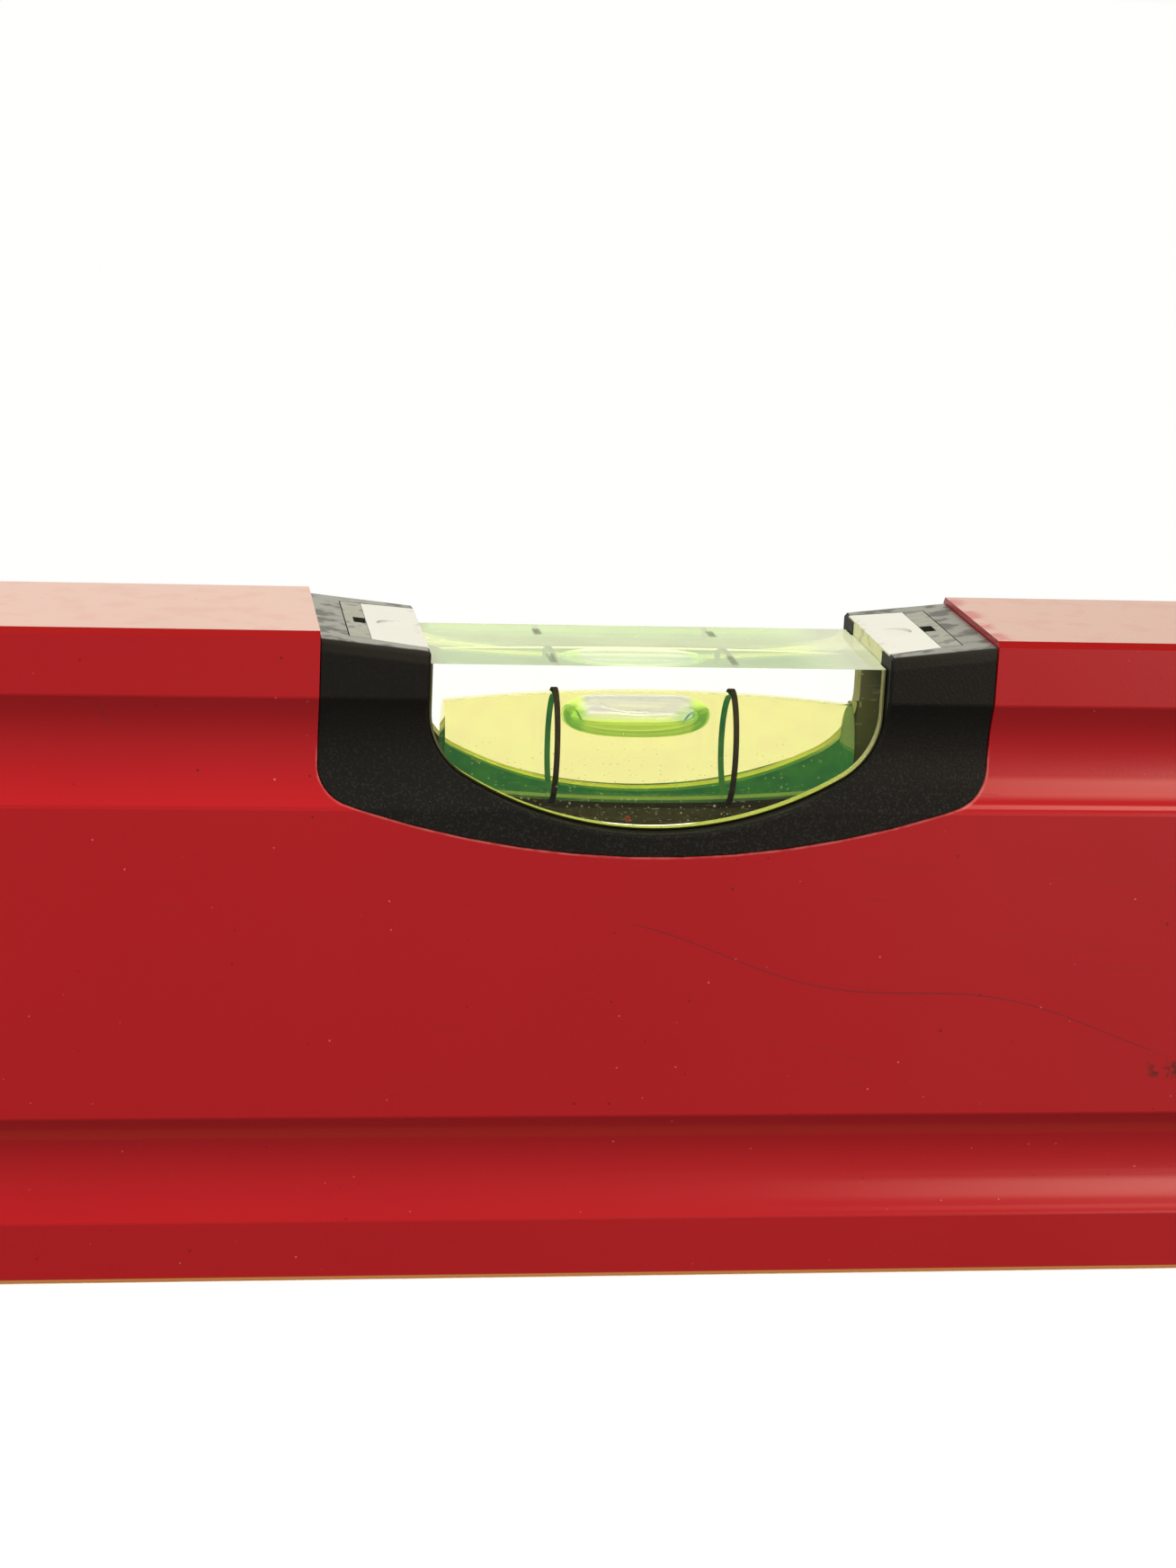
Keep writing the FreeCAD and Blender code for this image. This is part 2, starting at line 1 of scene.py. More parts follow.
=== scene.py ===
import json
import math
import bpy
from mathutils import Matrix, Vector


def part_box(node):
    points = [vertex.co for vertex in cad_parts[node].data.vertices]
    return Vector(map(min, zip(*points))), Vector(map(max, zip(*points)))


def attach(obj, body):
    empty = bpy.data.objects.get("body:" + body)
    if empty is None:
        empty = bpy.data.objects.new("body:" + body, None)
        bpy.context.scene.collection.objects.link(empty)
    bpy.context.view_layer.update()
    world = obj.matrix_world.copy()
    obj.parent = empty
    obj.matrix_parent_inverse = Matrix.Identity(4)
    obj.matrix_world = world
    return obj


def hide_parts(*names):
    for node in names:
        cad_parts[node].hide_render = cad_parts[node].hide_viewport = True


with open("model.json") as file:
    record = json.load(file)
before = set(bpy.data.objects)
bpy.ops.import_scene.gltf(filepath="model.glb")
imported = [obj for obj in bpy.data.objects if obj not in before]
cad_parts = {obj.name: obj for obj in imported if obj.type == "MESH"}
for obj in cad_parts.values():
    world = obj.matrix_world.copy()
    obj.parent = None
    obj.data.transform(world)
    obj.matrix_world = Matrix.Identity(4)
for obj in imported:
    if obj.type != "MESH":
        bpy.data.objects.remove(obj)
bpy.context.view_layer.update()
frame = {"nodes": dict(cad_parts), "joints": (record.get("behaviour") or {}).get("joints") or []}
nodes = frame["nodes"]
mm = 0.001


# Camera
# The eye stands in front of the level, a little left of its middle and about 12 cm up,
# and looks slightly to the right and 15 degrees down at the centre vial.
def look_through(name, place, forward, sideways, lens):
    camera = bpy.data.cameras.new(name)
    camera.lens = lens
    camera.sensor_width = 36
    camera.clip_start = 0.01
    holder = bpy.data.objects.new(name, camera)
    bpy.context.scene.collection.objects.link(holder)
    back = -Vector(forward).normalized()
    right = Vector(sideways)
    right = (right - back * right.dot(back)).normalized()
    up = back.cross(right)
    turn = Matrix((right, up, back)).transposed()
    holder.matrix_world = Matrix.Translation(place) @ turn.to_4x4()
    bpy.context.scene.camera = holder


eye = Vector((-45.5, -276.27, 116.8)) * mm
gaze = (0.1413, 0.9573, -0.2521)
picture_right = (0.9899, -0.1345, 0.0441)
look_through("Eye", eye, gaze, picture_right, lens=72.69)
bpy.context.scene.view_settings.view_transform = "Standard"


# Table and light
# A pale matt table top under the level, a white room behind it, one large soft lamp above
# and in front, and a narrow one to the right that puts a faint warm gloss on the coves.
def feed(tree, socket, value):
    """Gives a socket a number or colour, or links it to another socket."""
    if isinstance(value, bpy.types.NodeSocket):
        tree.links.new(value, socket)
    else:
        socket.default_value = value


def add(tree, kind, **settings):
    """New shader node; each setting is a property, a socket's value or what feeds the socket."""
    node = tree.nodes.new("ShaderNode" + kind)
    for label, value in settings.items():
        if hasattr(node, label):
            setattr(node, label, value)
        else:
            feed(tree, node.inputs[label.replace("_", " ")], value)
    return node


def calc(tree, operation, first, second=0.0, third=0.0):
    node = add(tree, "Math", operation=operation)
    for socket, value in zip(node.inputs, (first, second, third)):
        feed(tree, socket, value)
    return node.outputs[0]


def tone(tree, factor, low, high):
    """Colour between low and high."""
    node = add(tree, "Mix", data_type="RGBA")
    feed(tree, node.inputs[0], factor)
    feed(tree, node.inputs[6], low)
    feed(tree, node.inputs[7], high)
    return node.outputs[2]


def ramp(tree, value, start, end, low=0.0, high=1.0):
    """Smooth step from low at start to high at end."""
    node = add(tree, "MapRange", interpolation_type="SMOOTHSTEP")
    for socket, setting in zip(node.inputs, (value, start, end, low, high)):
        feed(tree, socket, setting)
    return node.outputs[0]


def grey(value):
    return (value, value, value, 1.0)


def start_material(name):
    """Empty material; returns it, its node tree and the output node."""
    material = bpy.data.materials.new(name)
    material.use_nodes = True
    tree = material.node_tree
    tree.nodes.clear()
    return material, tree, tree.nodes.new("ShaderNodeOutputMaterial")


def seen_and_gloss(tree):
    """Two masks: rays from the eye, straight or through glass, and rays off a gloss."""
    path = add(tree, "LightPath")
    seen = calc(tree, "MAXIMUM", path.outputs["Is Camera Ray"], path.outputs["Is Transmission Ray"])
    return seen, calc(tree, "MULTIPLY", path.outputs["Is Glossy Ray"], calc(tree, "SUBTRACT", 1.0, seen))


def room_light():
    """White room: bright behind the level, dim behind the eye, and a soft fill all round."""
    world = bpy.data.worlds.new("Room")
    bpy.context.scene.world = world
    world.use_nodes = True
    tree = world.node_tree
    tree.nodes.clear()
    seen, gloss = seen_and_gloss(tree)
    direction = add(tree, "TexCoord").outputs["Generated"]
    parts = add(tree, "SeparateXYZ", Vector=direction)
    behind = ramp(tree, parts.outputs["Y"], 0.1, 0.5, 0.05, 1.0)
    behind = calc(tree, "MULTIPLY", behind, ramp(tree, parts.outputs["X"], 0.05, 0.35, 1.0, 0.86))
    fill = ramp(tree, parts.outputs["Y"], 0.1, 0.6, 0.3, 0.5)
    strength = tone(tree, gloss, fill, behind)
    strength = tone(tree, seen, strength, grey(1.0))
    to_right = ramp(tree, parts.outputs["X"], 0.15, 0.45)
    white = tone(tree, to_right, (1.0, 1.0, 0.985, 1), (0.955, 0.965, 0.91, 1))
    background = add(tree, "Background", Color=white, Strength=strength)
    output = tree.nodes.new("ShaderNodeOutputWorld")
    tree.links.new(background.outputs[0], output.inputs["Surface"])


def soft_lamp(name, place, target, width, height, power, colour):
    lamp = bpy.data.lights.new(name, "AREA")
    lamp.shape = "RECTANGLE"
    lamp.size = width
    lamp.size_y = height
    lamp.energy = power
    lamp.color = colour
    holder = bpy.data.objects.new(name, lamp)
    bpy.context.scene.collection.objects.link(holder)
    away = Vector(place) - Vector(target)
    holder.location = place
    holder.rotation_euler = away.to_track_quat("Z", "Y").to_euler()
    return holder


def lay_table():
    """Wide table top; near the level it is a lit surface, and further off it fades to plain white."""
    bpy.ops.mesh.primitive_plane_add(size=40, location=(0, 0, 0))
    table = bpy.context.active_object
    table.name = "table_top"
    material, tree, output = start_material("Pale table")
    place = add(tree, "TexCoord").outputs["Object"]
    parts = add(tree, "SeparateXYZ", Vector=place)
    half_level = 0.19
    along = calc(tree, "SUBTRACT", calc(tree, "ABSOLUTE", parts.outputs["X"]), half_level)
    away = calc(tree, "MAXIMUM", along, calc(tree, "ABSOLUTE", parts.outputs["Y"]))
    far_off = ramp(tree, away, 0.02, 0.11)
    seen, gloss = seen_and_gloss(tree)
    mottle = add(tree, "TexNoise", Vector=place, Scale=60.0, Detail=3.0)
    pale = tone(tree, mottle.outputs[0], (0.9, 0.9, 0.885, 1), (0.94, 0.94, 0.925, 1))
    surface = add(tree, "BsdfDiffuse", Color=tone(tree, seen, grey(0.2), pale))
    white = add(tree, "Emission", Color=(1, 1, 0.985, 1), Strength=1.0)
    behind = calc(tree, "MULTIPLY", gloss, ramp(tree, parts.outputs["Y"], 0.05, 0.4))
    mix = add(tree, "MixShader", Fac=calc(tree, "MULTIPLY", far_off, calc(tree, "MAXIMUM", seen, behind)))
    tree.links.new(surface.outputs[0], mix.inputs[1])
    tree.links.new(white.outputs[0], mix.inputs[2])
    tree.links.new(mix.outputs[0], output.inputs["Surface"])
    table.data.materials.append(material)


bpy.ops.object.select_all(action="DESELECT")
room_light()
key_lamp = soft_lamp("Key lamp", place=(-0.15, -0.52, 0.95), target=(0, 0, 0.03),
                     width=0.7, height=0.5, power=15.5, colour=(1.0, 0.975, 0.92))
key_lamp.visible_glossy = False
side_lamp = soft_lamp("Side lamp", place=(0.42, -0.62, 0.032), target=(0.03, 0, 0.032),
                      width=0.16, height=0.045, power=4.6, colour=(1.0, 0.7, 0.6))
side_lamp.visible_diffuse = False
lay_table()


# Box profile
# Extruded aluminium box, cut to length, punched for its vials, powder-coated in satin red
# and then milled bare on the measuring face. It has picked up dust, faint scuffs and a hair.
# Highlights in its coves and round its slot, shade on its top chamfer and a warm glow along its foot are
# painted into the coat.
def start_group(name, inputs, outputs):
    """Empty node group with its sockets; returns it, its input node and its output node."""
    tree = bpy.data.node_groups.new(name, "ShaderNodeTree")
    for label, kind, value in inputs:
        socket = tree.interface.new_socket(label, in_out="INPUT", socket_type="NodeSocket" + kind)
        socket.default_value = value
    for label in outputs:
        tree.interface.new_socket(label, in_out="OUTPUT", socket_type="NodeSocketFloat")
    return tree, tree.nodes.new("NodeGroupInput"), tree.nodes.new("NodeGroupOutput")


def facing(tree, axis):
    """How far the surface faces along one axis of the level, from -1 to 1."""
    normal = add(tree, "NewGeometry").outputs["True Normal"]
    return add(tree, "SeparateXYZ", Vector=normal).outputs[axis]


def make_grain_group():
    """Fine moulded or sprayed grain: a height for bump, and a mask of its highest grains."""
    inputs = [("Vector", "Vector", (0, 0, 0)), ("Grain mm", "Float", 0.3), ("Peaks", "Float", 0.6)]
    tree, source, target = start_group("Surface grain", inputs, ["Height", "Peaks"])
    scale = calc(tree, "DIVIDE", 1000.0, source.outputs["Grain mm"])
    fine = add(tree, "TexNoise", Vector=source.outputs["Vector"], Scale=scale, Detail=2.0)
    cells = add(tree, "TexVoronoi", Vector=source.outputs["Vector"], Scale=scale)
    height = calc(tree, "ADD", fine.outputs[0], calc(tree, "MULTIPLY", cells.outputs["Distance"], 0.5))
    edge = calc(tree, "ADD", source.outputs["Peaks"], 0.12)
    peaks = ramp(tree, fine.outputs[0], source.outputs["Peaks"], edge)
    tree.links.new(height, target.inputs["Height"])
    tree.links.new(peaks, target.inputs["Peaks"])
    return tree


def make_speck_group():
    """Scattered round specks of dust or dirt: each cell laid out on a face may hold one."""
    inputs = [("Vector", "Vector", (0, 0, 0)), ("Spacing mm", "Float", 4.0),
              ("Size mm", "Float", 0.1), ("Share", "Float", 0.3)]
    tree, source, target = start_group("Specks", inputs, ["Mask"])
    spacing = source.outputs["Spacing mm"]
    wobble = add(tree, "TexNoise", Vector=source.outputs["Vector"], Scale=9000.0, Detail=1.0)
    place = add(tree, "SeparateXYZ", Vector=source.outputs["Vector"]).outputs
    level_face = calc(tree, "GREATER_THAN", calc(tree, "ABSOLUTE", facing(tree, "Z")), 0.7)
    end_face = calc(tree, "GREATER_THAN", calc(tree, "ABSOLUTE", facing(tree, "X")), 0.7)
    across = calc(tree, "MULTIPLY_ADD", end_face, calc(tree, "SUBTRACT", place["Y"], place["X"]), place["X"])
    up = calc(tree, "MULTIPLY_ADD", level_face, calc(tree, "SUBTRACT", place["Y"], place["Z"]), place["Z"])
    flat = add(tree, "CombineXYZ", X=across, Y=up)
    cells = add(tree, "TexVoronoi", voronoi_dimensions="2D", Vector=flat.outputs[0],
                Scale=calc(tree, "DIVIDE", 1000.0, spacing))
    chance = add(tree, "SeparateColor", Color=cells.outputs["Color"])
    away = calc(tree, "MULTIPLY", cells.outputs["Distance"], spacing)
    away = calc(tree, "MULTIPLY", away, calc(tree, "ADD", 0.4, wobble.outputs[0]))
    reach = calc(tree, "MULTIPLY", source.outputs["Size mm"], chance.outputs["Green"])
    inside = calc(tree, "LESS_THAN", away, reach)
    chosen = calc(tree, "LESS_THAN", chance.outputs["Red"], source.outputs["Share"])
    tree.links.new(calc(tree, "MULTIPLY", inside, chosen), target.inputs["Mask"])
    return tree


def make_scratch_group():
    """Fine hairlines: thin level lines of a stretched noise, kept only in some patches."""
    inputs = [("Vector", "Vector", (0, 0, 0)), ("Spacing mm", "Float", 3.0),
              ("Width", "Float", 0.01), ("Share", "Float", 0.4)]
    tree, source, target = start_group("Hairlines", inputs, ["Mask"])
    scale = calc(tree, "DIVIDE", 1000.0, source.outputs["Spacing mm"])
    stretched = add(tree, "Mapping", Vector=source.outputs["Vector"])
    stretched.inputs["Rotation"].default_value = (0.3, 0.5, 0.2)
    stretched.inputs["Scale"].default_value = (0.12, 1.0, 1.0)
    lines = add(tree, "TexNoise", Vector=stretched.outputs[0], Scale=scale, Detail=1.0)
    off = calc(tree, "ABSOLUTE", calc(tree, "SUBTRACT", lines.outputs[0], 0.5))
    thin = calc(tree, "LESS_THAN", off, source.outputs["Width"])
    patches = add(tree, "TexNoise", Vector=source.outputs["Vector"], Scale=calc(tree, "MULTIPLY", scale, 0.6))
    kept = calc(tree, "LESS_THAN", patches.outputs[0], source.outputs["Share"])
    tree.links.new(calc(tree, "MULTIPLY", thin, kept), target.inputs["Mask"])
    return tree


def use(tree, group, **settings):
    """Places a node group with its own values."""
    node = tree.nodes.new("ShaderNodeGroup")
    node.node_tree = group
    for label, value in settings.items():
        feed(tree, node.inputs[label.replace("_", " ")], value)
    return node


def object_place(tree):
    """Where a surface point lies on the level, as a vector and as X, Y and Z in millimetres."""
    place = add(tree, "TexCoord").outputs["Object"]
    scaled = add(tree, "VectorMath", operation="SCALE", Scale=1000.0)
    tree.links.new(place, scaled.inputs[0])
    parts = add(tree, "SeparateXYZ", Vector=scaled.outputs[0])
    return place, parts.outputs["X"], parts.outputs["Y"], parts.outputs["Z"]


def between(tree, value, low, high, soft):
    """One between low and high, falling to nought over a soft edge."""
    return calc(tree, "MULTIPLY", ramp(tree, value, low - soft, low), ramp(tree, value, high + soft, high))


def add_top_gloss(tree, body, share, colour, roughness):
    """Mixes in the pale gloss that a level face shows when it is seen at a slant."""
    slant = add(tree, "LayerWeight", Blend=0.5)
    level_face = ramp(tree, facing(tree, "Z"), 0.75, 0.95)
    amount = calc(tree, "MULTIPLY", calc(tree, "POWER", slant.outputs["Facing"], 1.5), level_face)
    gloss = add(tree, "BsdfGlossy", Color=colour, Roughness=roughness)
    mix = add(tree, "MixShader", Fac=calc(tree, "MULTIPLY", amount, share))
    tree.links.new(body, mix.inputs[1])
    tree.links.new(gloss.outputs[0], mix.inputs[2])
    return mix.outputs[0]


grain_group = make_grain_group()
speck_group = make_speck_group()
scratch_group = make_scratch_group()


def hair_line(tree, x, y, z):
    """Fine hair stuck on the front, sinking in slow waves from the middle to the right."""
    slope, height_at_middle = -0.205, 32.4
    wave_height, wave_rate, wave_start = 1.15, 0.175, 2.0
    fall = calc(tree, "MULTIPLY_ADD", x, slope, height_at_middle)
    wave = calc(tree, "SINE", calc(tree, "MULTIPLY_ADD", x, wave_rate, wave_start))
    middle = calc(tree, "MULTIPLY_ADD", wave, wave_height, fall)
    off = calc(tree, "ABSOLUTE", calc(tree, "SUBTRACT", z, middle))
    thin = ramp(tree, off, 0.11, 0.03)
    along = between(tree, x, 0.0, 46.0, 3.0)
    return calc(tree, "MULTIPLY", calc(tree, "MULTIPLY", thin, along), calc(tree, "LESS_THAN", y, -10.0))


def slot_edge(tree, x, z):
    """Pale line round the punched slot, along its belly and round its corners: a highlight painted on its
    rolled edge, broken into patches.
    """
    belly_centre, belly_radius, belly_end = 124.1, 84.1, 27.5
    corner_x, corner_z, corner_radius = 26.35, 48.03, 3.6
    across = calc(tree, "ABSOLUTE", x)
    rise = calc(tree, "POWER", calc(tree, "SUBTRACT", belly_centre, z), 2.0)
    reach = calc(tree, "SQRT", calc(tree, "ADD", calc(tree, "MULTIPLY", x, x), rise))
    belly = ramp(tree, calc(tree, "SUBTRACT", reach, belly_radius), 0.17, 0.05)
    belly = calc(tree, "MULTIPLY", belly, calc(tree, "LESS_THAN", across, belly_end))
    out = calc(tree, "MAXIMUM", calc(tree, "SUBTRACT", across, corner_x), 0.0)
    sink = calc(tree, "MAXIMUM", calc(tree, "SUBTRACT", corner_z, z), 0.0)
    squares = calc(tree, "ADD", calc(tree, "POWER", out, 2.0), calc(tree, "POWER", sink, 2.0))
    turn = calc(tree, "SUBTRACT", calc(tree, "SQRT", squares), corner_radius)
    corner = calc(tree, "MULTIPLY", ramp(tree, turn, 0.2, 0.06), ramp(tree, z, 50.5, 48.5))
    corner = calc(tree, "MULTIPLY", corner, calc(tree, "GREATER_THAN", across, belly_end))
    line = calc(tree, "MAXIMUM", belly, corner)
    place = add(tree, "TexCoord").outputs["Object"]
    patches = add(tree, "TexNoise", Vector=place, Scale=900.0, Detail=3.0)
    return calc(tree, "MULTIPLY", line, ramp(tree, patches.outputs[0], 0.35, 0.62, 0.35, 1.0))


def cove_streaks(tree, x, y, z):
    """Pale highlights painted along the two front coves, brighter towards the right."""
    wide_upper, wide_lower = (46.0, 47.0, 0.7, 0.23), (7.6, 8.6, 0.7, 0.15)
    thin_upper, thin_lower = (44.75, 44.95, 0.15, 0.3), (6.3, 6.5, 0.15, 0.06)
    streaks = 0.0
    for low, high, soft, strength in (wide_upper, wide_lower, thin_upper, thin_lower):
        band = calc(tree, "MULTIPLY", between(tree, z, low, high, soft), strength)
        streaks = calc(tree, "MAXIMUM", streaks, band)
    front = calc(tree, "LESS_THAN", y, 0.0)
    return calc(tree, "MULTIPLY", calc(tree, "MULTIPLY", streaks, front), ramp(tree, x, 5.0, 50.0))


def make_red_coat():
    material, tree, output = start_material("Red powder coat")
    place, x, y, z = object_place(tree)
    cloud = add(tree, "TexNoise", Vector=place, Scale=28.0, Detail=4.0)
    red = tone(tree, cloud.outputs[0], (0.405, 0.011, 0.0145, 1), (0.445, 0.013, 0.0165, 1))
    dirt = use(tree, speck_group, Vector=place, Spacing_mm=3.4, Size_mm=0.12, Share=0.24)
    red = tone(tree, calc(tree, "MULTIPLY", dirt.outputs[0], 0.6), red, (0.09, 0.01, 0.01, 1))
    dust = use(tree, speck_group, Vector=place, Spacing_mm=2.6, Size_mm=0.085, Share=0.16)
    red = tone(tree, calc(tree, "MULTIPLY", dust.outputs[0], 0.4), red, (0.8, 0.3, 0.26, 1))
    # Painted highlight along the rolled edge of the slot.
    red = tone(tree, calc(tree, "MULTIPLY", slot_edge(tree, x, z), 0.3), red, (0.85, 0.3, 0.26, 1))
    # Painted shade: the slanted faces of the top chamfer are darkened.
    slanted = between(tree, facing(tree, "Z"), 0.6, 0.8, 0.05)
    chamfer = calc(tree, "MULTIPLY", slanted, calc(tree, "GREATER_THAN", z, 59.0))
    red = tone(tree, calc(tree, "MULTIPLY", chamfer, 0.8), red, (0.24, 0.006, 0.005, 1))
    # Painted highlight: a lighter band high in the lower cove.
    lower_crest = between(tree, z, 13.7, 14.4, 0.35)
    red = tone(tree, lower_crest, red, (0.45, 0.022, 0.016, 1))
    # Painted highlights along the coves.
    red = tone(tree, cove_streaks(tree, x, y, z), red, (0.95, 0.36, 0.3, 1))
    red = tone(tree, calc(tree, "MULTIPLY", hair_line(tree, x, y, z), 0.55), red, (0.13, 0.02, 0.025, 1))
    scuffs = use(tree, scratch_group, Vector=place, Spacing_mm=9.0, Width=0.002, Share=0.42)
    red = tone(tree, calc(tree, "MULTIPLY", scuffs.outputs[0], 0.25), red, (0.16, 0.03, 0.03, 1))
    smudge = add(tree, "TexNoise", Vector=place, Scale=1500.0, Detail=3.0)
    smudge_x, smudge_z = (48.0, 56.0, 1.5), (19.6, 20.8, 0.8)
    near_smudge = calc(tree, "MULTIPLY", between(tree, x, *smudge_x), between(tree, z, *smudge_z))
    dark = calc(tree, "MULTIPLY", near_smudge, ramp(tree, smudge.outputs[0], 0.5, 0.62))
    red = tone(tree, calc(tree, "MULTIPLY", dark, 0.75), red, (0.05, 0.02, 0.015, 1))
    milled_depth = 0.02
    bare = calc(tree, "LESS_THAN", z, milled_depth)
    # Painted glow: a warm emission on the bottom chamfer, just above the milled face.
    foot = calc(tree, "MULTIPLY", ramp(tree, z, 0.55, 0.35), calc(tree, "GREATER_THAN", z, milled_depth))
    marks = add(tree, "Mapping", Vector=place)
    marks.inputs["Scale"].default_value = (1.0, 0.02, 1.0)
    milled = add(tree, "TexNoise", Vector=marks.outputs[0], Scale=1400.0, Detail=3.0)
    metal = tone(tree, milled.outputs[0], (0.5, 0.5, 0.5, 1), (0.66, 0.66, 0.65, 1))
    grain = use(tree, grain_group, Vector=place, Grain_mm=0.34, Peaks=0.6)
    rough = ramp(tree, cloud.outputs[0], 0.3, 0.7, 0.27, 0.31)
    height = calc(tree, "ADD", grain.outputs["Height"], calc(tree, "MULTIPLY", bare, milled.outputs[0]))
    bump = add(tree, "Bump", Strength=0.1, Distance=0.00003, Height=height)
    coat = add(tree, "BsdfPrincipled", Base_Color=tone(tree, bare, red, metal), Metallic=bare,
               Roughness=rough, Normal=bump.outputs[0], IOR=1.26,
               Emission_Color=(0.4, 0.17, 0.04, 1), Emission_Strength=foot)
    share = ramp(tree, cloud.outputs[0], 0.3, 0.7, 0.74, 0.82)
    knocks = add(tree, "TexNoise", Vector=place, Scale=330.0, Detail=3.0)
    corner = between(tree, x, 29.0, 30.6, 1.1)
    corner = calc(tree, "MULTIPLY", corner, ramp(tree, knocks.outputs[0], 0.4, 0.6))
    share = calc(tree, "MULTIPLY", share, calc(tree, "MULTIPLY_ADD", corner, -0.6, 1.0))
    share = calc(tree, "MULTIPLY", share, ramp(tree, knocks.outputs[0], 0.5, 0.66, 1.0, 0.9))
    share = calc(tree, "MULTIPLY", share, calc(tree, "MULTIPLY_ADD", dirt.outputs[0], -0.5, 1.0))
    gloss = add_top_gloss(tree, coat.outputs[0], share, (1.0, 0.94, 0.76, 1), roughness=0.3)
    tree.links.new(gloss, output.inputs["Surface"])
    return material


def wear(node, material):
    """Gives a CAD node its finish in place of the plain one."""
    slots = nodes[node].data.materials
    slots.clear()
    slots.append(material)


wear("profile", make_red_coat())


# Centre holder
# One black glass-filled moulding that clicks into the slot. Its faces have a fine spark texture
# with painted glints, a highlight is painted along the rounded edge under its shoulders, and the
# shoulders are rubbed smooth and grey by handling.
def make_black_moulding():
    material, tree, output = start_material("Black moulding")
    place, x, _, z = object_place(tree)
    cloud = add(tree, "TexNoise", Vector=place, Scale=70.0, Detail=3.0)
    grain = use(tree, grain_group, Vector=place, Grain_mm=0.22, Peaks=0.53)
    black = tone(tree, cloud.outputs[0], (0.0098, 0.0097, 0.008, 1), (0.0138, 0.0134, 0.0112, 1))
    # Painted glints: the highest grains are lightened, more lower down where the light falls.
    glint = calc(tree, "MULTIPLY", grain.outputs["Peaks"], ramp(tree, z, 54.0, 44.0, 0.12, 0.55))
    black = tone(tree, glint, black, (0.034, 0.033, 0.029, 1))
    # Painted highlight along the rounded edge just under the sloping shoulders, in patches.
    shoulder_slope, shoulder_height = 0.11, 56.1
    head = calc(tree, "MULTIPLY_ADD", calc(tree, "ABSOLUTE", x), shoulder_slope, shoulder_height)
    shoulder_highlight = between(tree, calc(tree, "SUBTRACT", head, z), 0.1, 0.9, 0.4)
    shoulder_highlight = calc(tree, "MULTIPLY", shoulder_highlight, ramp(tree, cloud.outputs[0], 0.3, 0.7, 0.4, 1.0))
    black = tone(tree, shoulder_highlight, black, (0.025, 0.0225, 0.0175, 1))
    scuffs = add(tree, "TexNoise", Vector=place, Scale=420.0, Detail=5.0)
    rubbed = ramp(tree, scuffs.outputs[0], 0.4, 0.54, 0.22, 0.54)
    rubbed = calc(tree, "MULTIPLY", rubbed, ramp(tree, z, 56.0, 57.5))
    dust = use(tree, speck_group, Vector=place, Spacing_mm=3.4, Size_mm=0.12, Share=0.12)
    black = tone(tree, calc(tree, "MULTIPLY", dust.outputs[0], 0.3), black, (0.35, 0.34, 0.31, 1))
    rough = calc(tree, "MULTIPLY_ADD", cloud.outputs[0], 0.12, 0.4)
    bump = add(tree, "Bump", Strength=0.35, Distance=0.00006, Height=grain.outputs["Height"])
    plastic = add(tree, "BsdfPrincipled", Base_Color=black, Roughness=rough, Normal=bump.outputs[0],
                  Specular_IOR_Level=0.05)
    gloss = add_top_gloss(tree, plastic.outputs[0], rubbed, (1.0, 0.98, 0.84, 1), roughness=0.32)
    tree.links.new(gloss, output.inputs["Surface"])
    return material


black_moulding = make_black_moulding()
wear("vial_holder", black_moulding)


# White pads
# Two milky plastic pads that lie on the ends of the clear block and close the holder.
# They are a little grubby at their edges, and light from the vial tints their inner face.
def make_white_pad():
    material, tree, output = start_material("Milky pad")
    place, x, _, _ = object_place(tree)
    cloud = add(tree, "TexNoise", Vector=place, Scale=220.0, Detail=5.0)
    pale = tone(tree, cloud.outputs[0], (0.575, 0.562, 0.485, 1), (0.645, 0.636, 0.572, 1))
    inner = ramp(tree, calc(tree, "ABSOLUTE", facing(tree, "X")), 0.4, 0.6)
    inner = calc(tree, "MULTIPLY", inner, calc(tree, "LESS_THAN", calc(tree, "ABSOLUTE", x), 20.6))
    pale = tone(tree, inner, pale, (0.8, 0.8, 0.45, 1))
    grubby = add(tree, "TexNoise", Vector=place, Scale=900.0, Detail=4.0)
    side = ramp(tree, calc(tree, "ABSOLUTE", x), 21.4, 20.5)
    edge = calc(tree, "MULTIPLY", side, ramp(tree, grubby.outputs[0], 0.55, 0.66))
    pale = tone(tree, calc(tree, "MULTIPLY", edge, 0.5), pale, (0.4, 0.3, 0.2, 1))
    lines = use(tree, scratch_group, Vector=place, Spacing_mm=2.2, Width=0.004, Share=0.5)
    pale = tone(tree, calc(tree, "MULTIPLY", lines.outputs[0], 0.3), pale, (0.5, 0.46, 0.36, 1))
    rough = calc(tree, "MULTIPLY_ADD", cloud.outputs[0], 0.2, 0.35)
    bump = add(tree, "Bump", Strength=0.1, Distance=0.00003, Height=grubby.outputs[0])
    plastic = add(tree, "BsdfPrincipled", Base_Color=pale, Roughness=rough, Normal=bump.outputs[0], IOR=1.46)
    tree.links.new(plastic.outputs[0], output.inputs["Surface"])
    return material


white_pad = make_white_pad()
for side in ("left", "right"):
    wear("vial_pad_" + side, white_pad)


